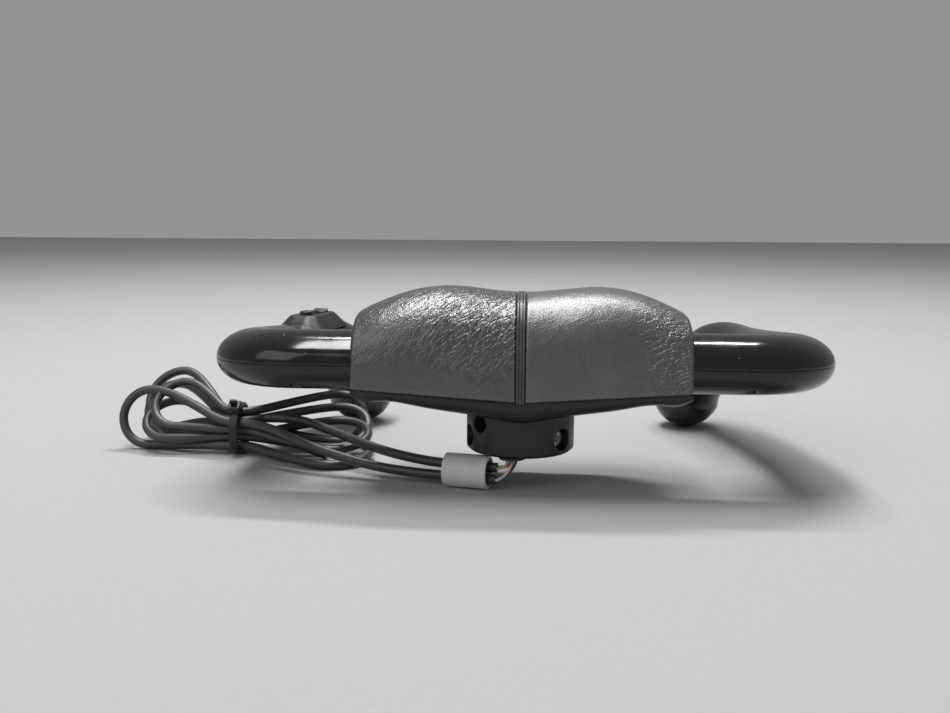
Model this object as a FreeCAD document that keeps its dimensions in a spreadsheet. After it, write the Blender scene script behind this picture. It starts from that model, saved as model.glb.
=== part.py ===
import FreeCAD, Part
import math
import os

import Sketcher

from FreeCAD import Matrix, Placement, Rotation, Vector

# Aircraft control wheel, lying pilot side up as it rests on a bench with its cables tied in a hank.
# Origin: centre of the hub's lower face on the column axis.
# +X is the wheel's right, +Y its top and +Z points at the pilot.

# Driving dimensions in millimetres and degrees
SIZES = {
    # Column hub
    "hub_diameter": 58.0,
    "hub_height": 34.0,
    "hub_edge": 1.5,
    "column_diameter": 28.6,
    "bolt_circle": 44.0,
    "low_row_height": 8.5,
    "high_row_height": 16.5,
    "low_row_angle": 50.0,
    "high_row_angle": -47.0,
    "low_recess_diameter": 12.0,
    "low_recess_depth": 8.0,
    "high_recess_diameter": 9.5,
    "high_recess_depth": 7.0,
    "clamp_thread": 5.0,
    "clamp_head": 8.5,
    "clamp_head_height": 4.0,
    "clamp_tip_gap": 1.2,
    # Wire outlet
    "outlet_distance": 21.9,
    "outlet_angle": -10.5,
    "outlet_diameter": 11.0,
    "grommet_wall": 1.5,
    "grommet_flange": 1.2,
    "grommet_lip": 1.4,
    # Spoke frame
    "plate_thickness": 6.0,
    "plate_span": 60.0,
    "plate_front": 31.5,
    "plate_back": 21.0,
    "plate_waist": 24.0,
    "lobe_width": 14.0,
    "web_thickness": 6.0,
    "web_start": 22.0,
    "web_root_height": 6.0,
    "web_drop": 0.6,
    "socket_diameter": 25.0,
    "socket_start": 50.0,
    "lightening_diameter": 11.0,
    "bolt_diameter": 5.0,
    "bolt_head": 8.5,
    "bolt_head_height": 5.0,
    "bolt_depth": 12.0,
    "grub_diameter": 5.0,
    "screw_clearance": 0.3,
    # Padded cover
    "cover_span": 86.0,
    "shoulder_place": 41.0,
    "cover_front": 44.0,
    "cover_front_end": 41.5,
    "cover_back": 41.0,
    "cover_back_shoulder": 43.0,
    "cover_back_end": 24.0,
    "cover_top": 84.0,
    "cover_top_shoulder": 87.0,
    "cover_top_end": 74.0,
    "cover_low": 32.0,
    "cover_low_end": 37.4,
    "cover_fullness": 3.0,
    "pad_thickness": 8.0,
    "carrier_wall": 2.5,
    "trim_width": 4.4,
    "trim_proud": 0.4,
    "cover_boss": 9.0,
    "cover_boss_across": 40.0,
    "cover_boss_front": 26.0,
    "cover_boss_back": 14.0,
    "cover_screw": 4.0,
    "cover_screw_head": 7.5,
    "cover_screw_head_height": 2.6,
    "cover_screw_depth": 10.0,
    # Back shell
    "back_depth": 14.5,
    "back_depth_end": 5.5,
    "back_inset": 1.0,
    "back_wall": 2.5,
    "hub_gap": 0.4,
    # Horns
    "horn_y": -17.0,
    "horn_z": 49.5,
    "horn_start": 84.0,
    "horn_width": 44.0,
    "horn_depth": 31.0,
    "horn_wall": 3.0,
    "horn_gap": 0.3,
    "horn_corner_x": 148.5,
    "horn_bend_x": 141.0,
    "horn_bend_y": 72.0,
    "horn_bend_z": 41.0,
    "horn_shoulder_x": 126.0,
    "horn_shoulder_y": 140.0,
    "horn_shoulder_z": 38.0,
    "horn_tip_x": 113.0,
    "horn_tip_y": 149.0,
    "horn_tip_z": 4.0,
    "corner_radius": 30.0,
    "bend_radius": 150.0,
    "drop_radius": 32.0,
    "tip_length": 23.2,
    "grip_width": 41.0,
    "grip_depth": 32.0,
    "upper_width": 43.0,
    "upper_depth": 35.0,
    "tip_width": 49.0,
    "tip_depth": 44.0,
    "core_diameter": 16.0,
    "core_wall": 1.5,
    "core_depth": 28.0,
    "core_gap": 0.1,
    "wire_way_lead": 14.0,
    "core_window": 9.0,
    "harness_diameter": 6.5,
    "harness_gap": 0.3,
    "harness_bend": 11.0,
    "harness_lead_radius": 90.0,
    "harness_stop": 0.6,
    "rib_thickness": 2.5,
    "horn_boss": 8.0,
    "horn_boss_side": 12.8,
    "horn_screw": 3.0,
    "horn_screw_head": 5.5,
    "horn_screw_head_height": 2.0,
    "horn_screw_reach": 7.0,
    # Switches on the left horn
    "switch_length": 36.0,
    "switch_width": 18.0,
    "switch_height": 4.6,
    "switch_corner": 6.0,
    "mound_length": 58.0,
    "mound_width": 33.0,
    "mound_corner": 14.0,
    "mound_drop": 9.0,
    "mound_round": 2.4,
    "switch_block_length": 31.0,
    "switch_block_width": 15.0,
    "switch_block_depth": 7.0,
    "switch_block_corner": 3.0,
    "switch_block_gap": 0.2,
    "rocker_length": 15.0,
    "rocker_width": 9.0,
    "rocker_rise": 2.0,
    "rocker_dish": 1.4,
    "rocker_depth": 4.5,
    "rocker_foot": 6.0,
    "trim_body_height": 3.2,
    "pin_drop": 1.5,
    "rocker_place": 6.5,
    "rocker_gap": 0.8,
    "rocker_pin": 2.0,
    "pin_gap": 0.05,
    "button_diameter": 8.5,
    "button_flange": 10.5,
    "button_flange_height": 1.2,
    "button_height": 2.4,
    "button_stem": 3.0,
    "button_stem_length": 2.4,
    "button_rest_gap": 0.1,
    "button_place": -9.0,
    "button_gap": 0.15,
    "spring_wire": 0.6,
    "spring_diameter": 6.0,
    "spring_turns": 3.0,
    # Cables
    "cable_diameter": 5.3,
    "sleeve_diameter": 18.0,
    "sleeve_bore": 15.0,
    "sleeve_length": 24.0,
    "sleeve_turn": -13.0,
    "sleeve_gap": 1.3,
    "sleeve_x": -27.8,
    "sleeve_y": -14.5,
    "wire_diameter": 1.5,
    "tie_width": 4.8,
    "tie_thickness": 1.3,
    "tie_head": 7.5,
    "tie_head_height": 5.0,
    "tie_head_angle": 122.0,
    "tie_tail": 4.0,
    "tie_gap": 0.3,
    "tie_round": 0.8,
    "tie_place": -170.0,
    "hank_y": 52.0,
    "waist_depth": 28.0,
    "waist_height": 27.6,
    "waist_lift": 1.7,
}

os.makedirs("parts", exist_ok=True)
doc = FreeCAD.newDocument("control_wheel")
sheet = doc.addObject("Spreadsheet::Sheet", "Sizes")
parts = []


class Size:
    """A number that remembers the sheet formula it comes from."""

    def __init__(self, formula, number):
        self.formula = formula
        self.number = float(number)

    def __float__(self):
        return self.number

    def _join(self, sign, other, number):
        text = other.formula if isinstance(other, Size) else repr(float(other))
        return Size(f"({self.formula} {sign} {text})", number)

    def __add__(self, other):
        return self._join("+", other, self.number + float(other))

    def __sub__(self, other):
        return self._join("-", other, self.number - float(other))

    def __mul__(self, other):
        return self._join("*", other, self.number * float(other))

    def __truediv__(self, other):
        return self._join("/", other, self.number / float(other))

    def __neg__(self):
        return Size(f"(0 - {self.formula})", -self.number)


class Table:
    """The sheet's sizes by name, each as a formula (.name) or read as a float."""


size = Table()
for row, (alias, number) in enumerate(SIZES.items(), start=1):
    sheet.set(f"A{row}", alias.replace("_", " "))
    sheet.set(f"B{row}", str(number))
    sheet.setAlias(f"B{row}", alias)
    setattr(size, alias, Size(f"Sizes.{alias}", number))
doc.recompute()


def bind(thing, **properties):
    """Set properties, and tie each one that is a Size to its formula."""
    for name, value in properties.items():
        if isinstance(value, Size):
            setattr(thing, name, value.number)
            thing.setExpression(name, value.formula)
        else:
            setattr(thing, name, value)
    return thing


def place(thing, x=0, y=0, z=0, turn=None):
    """Put a part at x, y, z, turned by a fixed rotation."""
    base = Vector(float(x), float(y), float(z))
    thing.Placement = Placement(base, turn or Rotation())
    for axis, value in (("x", x), ("y", y), ("z", z)):
        if isinstance(value, Size):
            thing.setExpression(f".Placement.Base.{axis}", value.formula)
    return thing


ALONG_X = Rotation(Vector(0, 1, 0), 90)
DOWN = Rotation(Vector(1, 0, 0), 180)


def cylinder(name, diameter, height, x=0, y=0, z=0, turn=None):
    thing = doc.addObject("Part::Cylinder", name)
    bind(thing, Radius=diameter / 2, Height=height)
    return place(thing, x, y, z, turn)


def block(name, length, width, height, x=0, y=0, z=0):
    thing = doc.addObject("Part::Box", name)
    bind(thing, Length=length, Width=width, Height=height)
    return place(thing, x, y, z)


def fuse(name, *things):
    whole = doc.addObject("Part::MultiFuse", name)
    whole.Shapes = list(things)
    return whole


def cut(name, base, *tools):
    whole = doc.addObject("Part::Cut", name)
    whole.Base = base
    whole.Tool = tools[0] if len(tools) == 1 else fuse(name + "_tools", *tools)
    return whole


def group(name, *things):
    whole = doc.addObject("Part::Compound", name)
    whole.Links = list(things)
    return whole


def shape(name, solid, placement=None):
    thing = doc.addObject("Part::Feature", name)
    thing.Shape = solid
    if placement:
        thing.Placement = placement
    return thing


def node(thing, label):
    """Mark a finished sub-part, whose label names its file."""
    thing.Label = label
    parts.append(thing)
    return thing


# Sketch and body helpers
def new_body(name):
    return doc.addObject("PartDesign::Body", name)


def outline(body, name, plane, points, offset=None):
    """A closed polygon sketch on an origin plane, each corner tied to its two sizes."""
    sketch = body.newObject("Sketcher::SketchObject", name)
    origin = [item for item in body.Origin.OriginFeatures if item.Role == plane][0]
    sketch.AttachmentSupport = [(origin, "")]
    sketch.MapMode = "FlatFace"
    if offset is not None:
        sketch.AttachmentOffset = Placement(Vector(0, 0, float(offset)), Rotation())
        if isinstance(offset, Size):
            sketch.setExpression(".AttachmentOffset.Base.z", offset.formula)
    count = len(points)
    flat = [Vector(float(u), float(v), 0) for u, v in points]
    for index in range(count):
        sketch.addGeometry(Part.LineSegment(flat[index], flat[(index + 1) % count]), False)
    for index in range(count):
        sketch.addConstraint(Sketcher.Constraint("Coincident", index, 2, (index + 1) % count, 1))
    for index, corner in enumerate(points):
        for kind, axis, value in (("DistanceX", -2, corner[0]), ("DistanceY", -1, corner[1])):
            if float(value) == 0:
                sketch.addConstraint(Sketcher.Constraint("PointOnObject", index, 1, axis))
                continue
            number = sketch.addConstraint(Sketcher.Constraint(kind, -1, 1, index, 1, float(value)))
            if isinstance(value, Size):
                sketch.setExpression(f"Constraints[{number}]", value.formula)
    return sketch


def feature(body, kind, name, **properties):
    thing = body.newObject("PartDesign::" + kind, name)
    return bind(thing, **properties)


def turned(name, points):
    """A body of revolution about Z from a half section of (radius, height) corners."""
    body = new_body(name)
    section = outline(body, name + "_section", "XZ_Plane", points)
    feature(body, "Revolution", name + "_turn", Profile=section, ReferenceAxis=(section, ["V_Axis"]),
            Angle=360.0)
    return body


def socket_screw(name, thread, head, head_height, length):
    """A screw with a hexagon socket, head upwards, its seat at z = 0 and its shank below."""
    shank = cylinder(name + "_shank", thread, length, z=-length)
    cap = cylinder(name + "_cap", head, head_height)
    socket = doc.addObject("Part::Prism", name + "_socket")
    bind(socket, Polygon=6, Circumradius=thread * 0.45, Height=head_height)
    place(socket, z=head_height * 0.4)
    return cut(name, fuse(name + "_body", shank, cap), socket)


def grub_screw(name, thread, length):
    """A headless set screw with its socket at the top, its top at z = 0."""
    shank = cylinder(name + "_shank", thread, length, z=-length)
    socket = doc.addObject("Part::Prism", name + "_socket")
    bind(socket, Polygon=6, Circumradius=thread * 0.3, Height=length / 2)
    place(socket, z=-length / 2)
    return cut(name, shank, socket)


SIDES = (("left", -1), ("right", 1))


# Column hub: a turned boss with a blind row of radial clamp holes and a drilled wire outlet
hub_radius = size.hub_diameter / 2
hub_section = [
    (size.column_diameter / 2, 0),
    (hub_radius - size.hub_edge, 0),
    (hub_radius, size.hub_edge),
    (hub_radius, size.hub_height),
    (size.column_diameter / 2, size.hub_height),
]
hub_blank = turned("hub_blank", hub_section)

outlet_turn = math.radians(SIZES["outlet_angle"])
outlet_x = size.outlet_distance * math.sin(outlet_turn)
outlet_y = size.outlet_distance * -math.cos(outlet_turn)
outlet_x.formula = "(Sizes.outlet_distance * sin(Sizes.outlet_angle * 1deg))"
outlet_y.formula = "(0 - Sizes.outlet_distance * cos(Sizes.outlet_angle * 1deg))"


def radial(name, thing_maker, angle, distance, height):
    """Stand a part's z axis outwards along a radius of the hub, at an angle from the near side."""
    thing = thing_maker(name)
    heading = math.radians(float(angle))
    outward = Vector(math.sin(heading), -math.cos(heading), 0)
    base = outward * float(distance) + Vector(0, 0, float(height))
    thing.Placement = Placement(base, Rotation(Vector(0, 0, 1), outward))
    text = angle.formula if isinstance(angle, Size) else repr(float(angle))
    thing.setExpression(".Placement.Base.x", f"{distance.formula} * sin(({text}) * 1deg)")
    thing.setExpression(".Placement.Base.y", f"0 - {distance.formula} * cos(({text}) * 1deg)")
    thing.setExpression(".Placement.Base.z", height.formula)
    return thing


low_angles = [size.low_row_angle + step for step in (0.0, -120.0, 120.0)]
high_angles = [size.high_row_angle + step for step in (0.0, 180.0)]
hub_tools = []
clamp_screws = []
grub_screws = []
screw_seat = hub_radius - size.low_recess_depth
grub_top = hub_radius - size.high_recess_depth
inner_wall = size.column_diameter / 2
for number, angle in enumerate(low_angles):
    hub_tools.append(radial(
        f"low_recess_{number}",
        lambda name: cylinder(name, size.low_recess_diameter, size.low_recess_depth + 2.0),
        angle, screw_seat, size.low_row_height))
    hub_tools.append(radial(
        f"low_thread_{number}",
        lambda name: cylinder(name, size.clamp_thread, screw_seat - inner_wall / 2),
        angle, inner_wall / 2, size.low_row_height))
    clamp_screws.append(radial(
        f"clamp_screw_{number}",
        lambda name: socket_screw(name, size.clamp_thread, size.clamp_head, size.clamp_head_height,
                                  screw_seat - inner_wall - size.clamp_tip_gap),
        angle, screw_seat, size.low_row_height))
for number, angle in enumerate(high_angles):
    hub_tools.append(radial(
        f"high_recess_{number}",
        lambda name: cylinder(name, size.high_recess_diameter, size.high_recess_depth + 2.0),
        angle, grub_top, size.high_row_height))
    hub_tools.append(radial(
        f"high_thread_{number}",
        lambda name: cylinder(name, size.clamp_thread, grub_top - inner_wall / 2),
        angle, inner_wall / 2, size.high_row_height))
    grub_screws.append(radial(
        f"locking_screw_{number}",
        lambda name: grub_screw(name, size.clamp_thread, grub_top - inner_wall - size.clamp_tip_gap),
        angle, grub_top, size.high_row_height))
hub_tools.append(cylinder("outlet_hole", size.outlet_diameter, size.hub_height + 2.0,
                          outlet_x, outlet_y, -1))

bolt_reach = size.bolt_circle / 2 * math.sqrt(0.5)
plate_top = size.hub_height + size.plate_thickness
bolt_corners = [(x, y) for x in (bolt_reach, -bolt_reach) for y in (bolt_reach, -bolt_reach)]
frame_bolts = []
for number, (x, y) in enumerate(bolt_corners):
    hub_tools.append(cylinder(f"bolt_thread_{number}", size.bolt_diameter, size.bolt_depth + 1.0,
                              x, y, size.hub_height - size.bolt_depth))
    screw = socket_screw(f"frame_bolt_{number}", size.bolt_diameter, size.bolt_head, size.bolt_head_height,
                         size.plate_thickness + size.bolt_depth - 1.0)
    frame_bolts.append(place(screw, x, y, plate_top))
node(cut("hub", hub_blank, *hub_tools), "column_hub")
node(group("clamp_screw_set", *clamp_screws), "clamp_screws")
node(group("locking_screw_set", *grub_screws), "locking_screws")
node(group("frame_bolt_set", *frame_bolts), "frame_bolts")

# Grommet of the wire outlet
hole_radius = size.outlet_diameter / 2
grommet_section = [
    (hole_radius - size.grommet_wall, -size.grommet_flange),
    (hole_radius + size.grommet_lip, -size.grommet_flange),
    (hole_radius + size.grommet_lip, 0),
    (hole_radius, 0),
    (hole_radius, size.low_row_height),
    (hole_radius - size.grommet_wall, size.low_row_height),
]
node(place(turned("grommet", grommet_section), outlet_x, outlet_y, 0), "outlet_grommet")

# Spoke frame: a cast plate with lobes for the cover screws, two webs and two sockets for the horn cores
frame_body = new_body("frame_body")
lobe_inner = size.cover_boss_across - size.lobe_width / 2
lobe_outer = size.cover_boss_across + size.lobe_width / 2
arm_front = size.horn_y - size.socket_diameter / 2
arm_back = size.horn_y + size.socket_diameter / 2
right_edge = [
    (size.column_diameter / 2, -size.plate_front),
    (lobe_outer, -size.plate_front),
    (size.socket_start, arm_front),
    (size.plate_span, arm_front),
    (size.plate_span, arm_back),
    (size.socket_start, arm_back),
    (lobe_outer, size.horn_gap),
    (lobe_outer, size.plate_back),
    (lobe_inner, size.plate_back),
    (size.plate_waist, size.cover_boss_back),
]
left_edge = [(-x, y) for x, y in reversed(right_edge)]
plate_sketch = outline(frame_body, "plate_outline", "XY_Plane", right_edge + left_edge, size.hub_height)
feature(frame_body, "Pad", "plate", Profile=plate_sketch, Length=size.plate_thickness)

socket_length = size.horn_start - size.carrier_wall - size.horn_gap - size.socket_start
centre_disc = cylinder("centre_disc", size.hub_diameter, size.plate_thickness, z=size.hub_height)
frame_solids = [frame_body, centre_disc]
frame_tools = [
    cylinder("centre_hole", size.column_diameter, size.plate_thickness + 2.0, z=size.hub_height - 1.0),
    cylinder("plate_outlet", size.outlet_diameter, size.plate_thickness + 2.0, outlet_x, outlet_y,
             size.hub_height - 1.0),
]
for side, sign in SIDES:
    web = new_body(f"web_{side}")
    web_points = [
        (size.web_start * sign, plate_top - 1.0),
        ((size.socket_start + 2.0) * sign, plate_top - 1.0),
        ((size.socket_start + 2.0) * sign, size.horn_z - size.web_drop),
        (size.web_start * sign, plate_top + size.web_root_height),
    ]
    web_offset = -size.horn_y - size.web_thickness / 2
    web_sketch = outline(web, f"web_{side}_outline", "XZ_Plane", web_points, web_offset)
    feature(web, "Pad", f"web_{side}_rib", Profile=web_sketch, Length=size.web_thickness)
    frame_solids.append(web)
    socket_base = size.socket_start if sign > 0 else -(size.socket_start + socket_length)
    frame_solids.append(cylinder(f"socket_{side}", size.socket_diameter, socket_length,
                                 socket_base, size.horn_y, size.horn_z, ALONG_X))
    bore_length = size.core_depth + 2.0
    core_end = size.socket_start + socket_length - size.core_depth
    bore_base = core_end if sign > 0 else -(core_end + bore_length)
    frame_tools.append(cylinder(f"core_bore_{side}", size.core_diameter, bore_length,
                                bore_base, size.horn_y, size.horn_z, ALONG_X))
    way_base = core_end - size.wire_way_lead if sign > 0 else -(core_end + size.wire_way_lead)
    frame_tools.append(cylinder(f"wire_way_{side}", size.core_diameter - size.core_wall * 2,
                                size.core_depth, way_base, size.horn_y, size.horn_z, ALONG_X))
    frame_tools.append(cylinder(f"lightening_{side}", size.lightening_diameter, size.plate_thickness + 2.0,
                                size.cover_boss_across * sign, -size.lightening_diameter / 2,
                                size.hub_height - 1.0))

socket_top = size.horn_z + size.socket_diameter / 2
core_top = size.horn_z + size.core_diameter / 2
core_screws = []
for side, sign in SIDES:
    for number, share in enumerate((0.3, 0.7)):
        x = (size.socket_start + socket_length - size.core_depth * share) * sign
        frame_tools.append(cylinder(f"core_thread_{side}_{number}", size.grub_diameter,
                                    size.socket_diameter / 2, x, size.horn_y, core_top - 0.5))
        screw = grub_screw(f"core_screw_{side}_{number}", size.grub_diameter, socket_top - core_top)
        core_screws.append(place(screw, x, size.horn_y, socket_top))
for number, (x, y) in enumerate(bolt_corners):
    frame_tools.append(cylinder(f"plate_bolt_hole_{number}", size.bolt_diameter, size.plate_thickness + 2.0,
                                x, y, size.hub_height - 1.0))

cover_corners = [
    (size.cover_boss_across * sign, y)
    for sign in (-1, 1)
    for y in (-size.cover_boss_front, size.cover_boss_back)
]
for number, (x, y) in enumerate(cover_corners):
    frame_tools.append(cylinder(f"plate_screw_hole_{number}", size.cover_screw, size.plate_thickness + 2.0,
                                x, y, size.hub_height - 1.0))
node(cut("frame", fuse("frame_casting", *frame_solids), *frame_tools), "spoke_frame")
node(group("core_screw_set", *core_screws), "core_set_screws")


# Padded cover: full domes, lofted through sections that a rounded formula draws
def ease(share):
    return share * share * (3 - 2 * share)


def along(x, centre, shoulder, end):
    """A size of the cover at x, from the centre over the shoulder to the end."""
    place_x = SIZES["shoulder_place"]
    reach = abs(x)
    if reach <= place_x:
        return centre + (shoulder - centre) * ease(reach / place_x)
    share = min(1.0, (reach - place_x) / (SIZES["cover_span"] - place_x))
    return shoulder + (end - shoulder) * share ** 1.8


def low_edge(x):
    return SIZES["cover_low"] + (SIZES["cover_low_end"] - SIZES["cover_low"]) * abs(x) / SIZES["cover_span"]


def cover_sides(x):
    """Front and back of the cover at x."""
    front = -along(x, SIZES["cover_front"], SIZES["cover_front"] - 0.5, SIZES["cover_front_end"])
    back = along(x, SIZES["cover_back"], SIZES["cover_back_shoulder"], SIZES["cover_back_end"])
    return front, back


def full_curve(x, middle, half, base, rise, fullness):
    """Half of a full oval in the plane at x, as one spline."""
    corners = []
    for step in range(13):
        angle = math.pi * step / 12
        across = math.copysign(abs(math.cos(angle)) ** (2 / fullness), math.cos(angle))
        up = abs(math.sin(angle)) ** (2 / fullness)
        corners.append(Vector(x, middle + half * across, base + rise * up))
    curve = Part.BSplineCurve()
    curve.interpolate(corners)
    return curve.toShape(), corners[0], corners[-1]


def dome_wire(x, inset, skirt):
    front, back = cover_sides(x)
    top = along(x, SIZES["cover_top"], SIZES["cover_top_shoulder"], SIZES["cover_top_end"])
    base = low_edge(x)
    middle = (front + back) / 2
    half = (back - front) / 2 - inset
    curve, start, stop = full_curve(x, middle, half, base, top - base - inset, SIZES["cover_fullness"])
    low_start = Vector(x, start.y, base - skirt)
    low_stop = Vector(x, stop.y, base - skirt)
    edges = [
        curve,
        Part.LineSegment(stop, low_stop).toShape(),
        Part.LineSegment(low_stop, low_start).toShape(),
        Part.LineSegment(low_start, start).toShape(),
    ]
    return Part.Wire(edges)


def tray_wire(x, inset):
    front, back = cover_sides(x)
    base = low_edge(x)
    share = abs(x) / SIZES["cover_span"]
    depth = SIZES["back_depth"] + (SIZES["back_depth_end"] - SIZES["back_depth"]) * share - inset
    middle = (front + back) / 2
    half = (back - front) / 2 - SIZES["back_inset"] - inset
    curve, start, stop = full_curve(x, middle, half, base, -depth, SIZES["cover_fullness"])
    high_start = Vector(x, start.y, base + 8)
    high_stop = Vector(x, stop.y, base + 8)
    edges = [
        curve,
        Part.LineSegment(stop, high_stop).toShape(),
        Part.LineSegment(high_stop, high_start).toShape(),
        Part.LineSegment(high_start, start).toShape(),
    ]
    return Part.Wire(edges)


def stations(span, count=11):
    """Evenly spaced places across the wheel."""
    return [span * (2 * step / (count - 1) - 1) for step in range(count)]


def prism(points, y_low, y_high):
    """A prism through the wheel in Y from corners in XZ."""
    wire = Part.makePolygon([Vector(x, y_low, z) for x, z in points + points[:1]])
    return Part.Face(wire).extrude(Vector(0, y_high - y_low, 0))


def above_edge(lift=0.0):
    """Everything over the line where the cover meets the back shell."""
    wide = SIZES["cover_span"] + 20
    high = SIZES["cover_top_shoulder"] + 60
    points = [(-wide, low_edge(wide) + lift), (0, low_edge(0) + lift), (wide, low_edge(wide) + lift),
              (wide, high), (-wide, high)]
    return prism(points, -150, 150)


def slab_x(x_low, x_high):
    return Part.makeBox(x_high - x_low, 400, 400, Vector(x_low, -200, -200))


span = SIZES["cover_span"]
pad = SIZES["pad_thickness"]
wall = SIZES["carrier_wall"]
horn_start = SIZES["horn_start"]
dome = Part.makeLoft([dome_wire(x, 0, 3) for x in stations(span)], True, False)
proud = Part.makeLoft([dome_wire(x, -SIZES["trim_proud"], 3) for x in stations(span)], True, False)
carrier_blank = Part.makeLoft([dome_wire(x, pad, 3) for x in stations(horn_start)], True, False)
hollow_span = horn_start - wall
hollow = Part.makeLoft([dome_wire(x, pad + wall, 6) for x in stations(hollow_span)], True, False)
above = above_edge()

half_trim = SIZES["trim_width"] / 2
horn_centre = Vector(0, SIZES["horn_y"], SIZES["horn_z"])


def horn_mouth(sign, grow):
    """The space that the straight root of a horn needs outside the cover's end."""
    oval = Part.Ellipse(Vector(0, 0, 0), SIZES["horn_width"] / 2 + grow, SIZES["horn_depth"] / 2 + grow)
    face = Part.Face(Part.Wire([oval.toShape()]))
    turn = Rotation(Vector(0, -1, 0), Vector(0, 0, 1), Vector(-1, 0, 0), "ZXY")
    face.Placement = Placement(Vector(sign * horn_start, horn_centre.y, horn_centre.z), turn)
    return face.extrude(Vector(sign * 40, 0, 0))


mouths = horn_mouth(1, SIZES["horn_gap"]).fuse(horn_mouth(-1, SIZES["horn_gap"]))
pad_skin = dome.cut(carrier_blank).common(above).cut(mouths)
pads = {
    "left": pad_skin.common(slab_x(-200, -half_trim)),
    "right": pad_skin.common(slab_x(half_trim, 200)),
}
for side, sign in SIDES:
    node(shape(f"pad_{side}_half", pads[side]), f"pad_{side}")
strip = proud.cut(carrier_blank).common(above).common(slab_x(-half_trim, half_trim))
node(shape("trim", strip), "centre_trim")

# Cover carrier: the hard shell under the pads, with bosses down to the spoke frame
core_ways = Part.makeCylinder(
    SIZES["core_diameter"] / 2 + SIZES["core_gap"], 2 * span + 40,
    Vector(-span - 20, horn_centre.y, horn_centre.z), Vector(1, 0, 0))
boss_radius = SIZES["cover_boss"] / 2
screw_radius = SIZES["cover_screw"] / 2
boss_tops = []
boss_holes = []
for x, y in cover_corners:
    foot = Vector(float(x), float(y), float(plate_top))
    boss_tops.append(Part.makeCylinder(boss_radius, 60, foot))
    boss_holes.append(Part.makeCylinder(screw_radius, SIZES["cover_screw_depth"] + 1, foot))
bosses = boss_tops[0].fuse(boss_tops[1:]).common(carrier_blank)
carrier = carrier_blank.cut(hollow).common(above).fuse(bosses).cut(core_ways).cut(mouths)
node(shape("carrier", carrier.cut(boss_holes[0].fuse(boss_holes[1:])).removeSplitter()), "cover_carrier")

# Back shell: a shallow tray from the hub out to the horns
tray = Part.makeLoft([tray_wire(x, 0) for x in stations(span)], True, False)
tray_hollow = Part.makeLoft([tray_wire(x, SIZES["back_wall"]) for x in stations(hollow_span)], True, False)
hub_hole = Part.makeCylinder(SIZES["hub_diameter"] / 2 + SIZES["hub_gap"], 80, Vector(0, 0, -10))
below = Part.makeBox(400, 400, 400, Vector(-200, -200, -200)).cut(above)
column_boss = []
seat_holes = []
shell_screws = []
for number, (x, y) in enumerate(cover_corners):
    foot = Vector(float(x), float(y), 0)
    column_boss.append(Part.makeCylinder(boss_radius, SIZES["hub_height"], foot))
    share = abs(float(x)) / span
    depth = SIZES["back_depth"] + (SIZES["back_depth_end"] - SIZES["back_depth"]) * share
    seat = low_edge(float(x)) - depth + SIZES["back_wall"] + SIZES["cover_screw_head_height"]
    seat_holes.append(Part.makeCylinder(screw_radius, SIZES["hub_height"], foot))
    head_room = SIZES["cover_screw_head"] / 2 + SIZES["screw_clearance"]
    seat_holes.append(Part.makeCylinder(head_room, seat, foot))
    shell_screws.append((x, y, seat))
shell_bosses = column_boss[0].fuse(column_boss[1:]).common(tray)
back_shell = tray.cut(tray_hollow).common(below).fuse(shell_bosses)
back_shell = back_shell.cut(hub_hole).cut(mouths).cut(seat_holes[0].fuse(seat_holes[1:]))
node(shape("tray", back_shell.removeSplitter()), "back_shell")

cover_screw_items = []
for number, (x, y, seat) in enumerate(shell_screws):
    length = float(plate_top) + SIZES["cover_screw_depth"] - seat
    screw = socket_screw(f"cover_screw_{number}", size.cover_screw, size.cover_screw_head,
                         size.cover_screw_head_height, Size(repr(length), length))
    cover_screw_items.append(place(screw, x, y, seat, DOWN))
node(group("cover_screw_set", *cover_screw_items), "cover_screws")


# Horns: a bent steel core, and two moulded halves lofted through open sections along the same path
class Station:
    """A place on a horn's path, with the direction along it, outwards and up, and the oval's half sizes."""

    def __init__(self, point, ahead, half_width, half_depth):
        self.point = point
        self.ahead = ahead
        self.out = ahead.cross(Vector(0, 0, 1)).normalize()
        self.up = self.out.cross(ahead).normalize()
        self.half_width = half_width
        self.half_depth = half_depth

    def frame(self):
        return Placement(self.point, Rotation(self.out, self.up, -self.ahead, "ZXY"))

    def at(self, out, up, ahead=0.0):
        return self.point + self.out * out + self.up * up + self.ahead * ahead

    def surface(self, out, inset):
        """Height of the oval, drawn in by inset, at a distance out from its middle."""
        wide = self.half_width - inset
        deep = self.half_depth - inset
        return deep * math.sqrt(max(0.0, 1 - (out / wide) ** 2))


def rounded_path(points, radii):
    """Straight runs through the points, joined at the inner points by tangent arcs."""
    edges = []
    start = points[0]
    for before, corner, after, radius in zip(points, points[1:], points[2:], radii):
        inward = (before - corner).normalize()
        onward = (after - corner).normalize()
        half_turn = (math.pi - inward.getAngle(onward)) / 2
        reach = radius * math.tan(half_turn)
        enter = corner + inward * reach
        leave = corner + onward * reach
        bisector = (inward + onward).normalize()
        middle = corner + bisector * (radius / math.cos(half_turn) - radius)
        edges.append(Part.LineSegment(start, enter).toShape())
        edges.append(Part.Arc(enter, middle, leave).toShape())
        start = leave
    edges.append(Part.LineSegment(start, points[-1]).toShape())
    return edges


def tube_along(edges, radius):
    """A round bar swept along a path."""
    first = edges[0]
    along = first.tangentAt(first.FirstParameter)
    ring = Part.Wire([Part.Circle(first.Vertexes[0].Point, along, radius).toShape()])
    return Part.Wire(edges).makePipeShell([ring], True, True)


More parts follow.
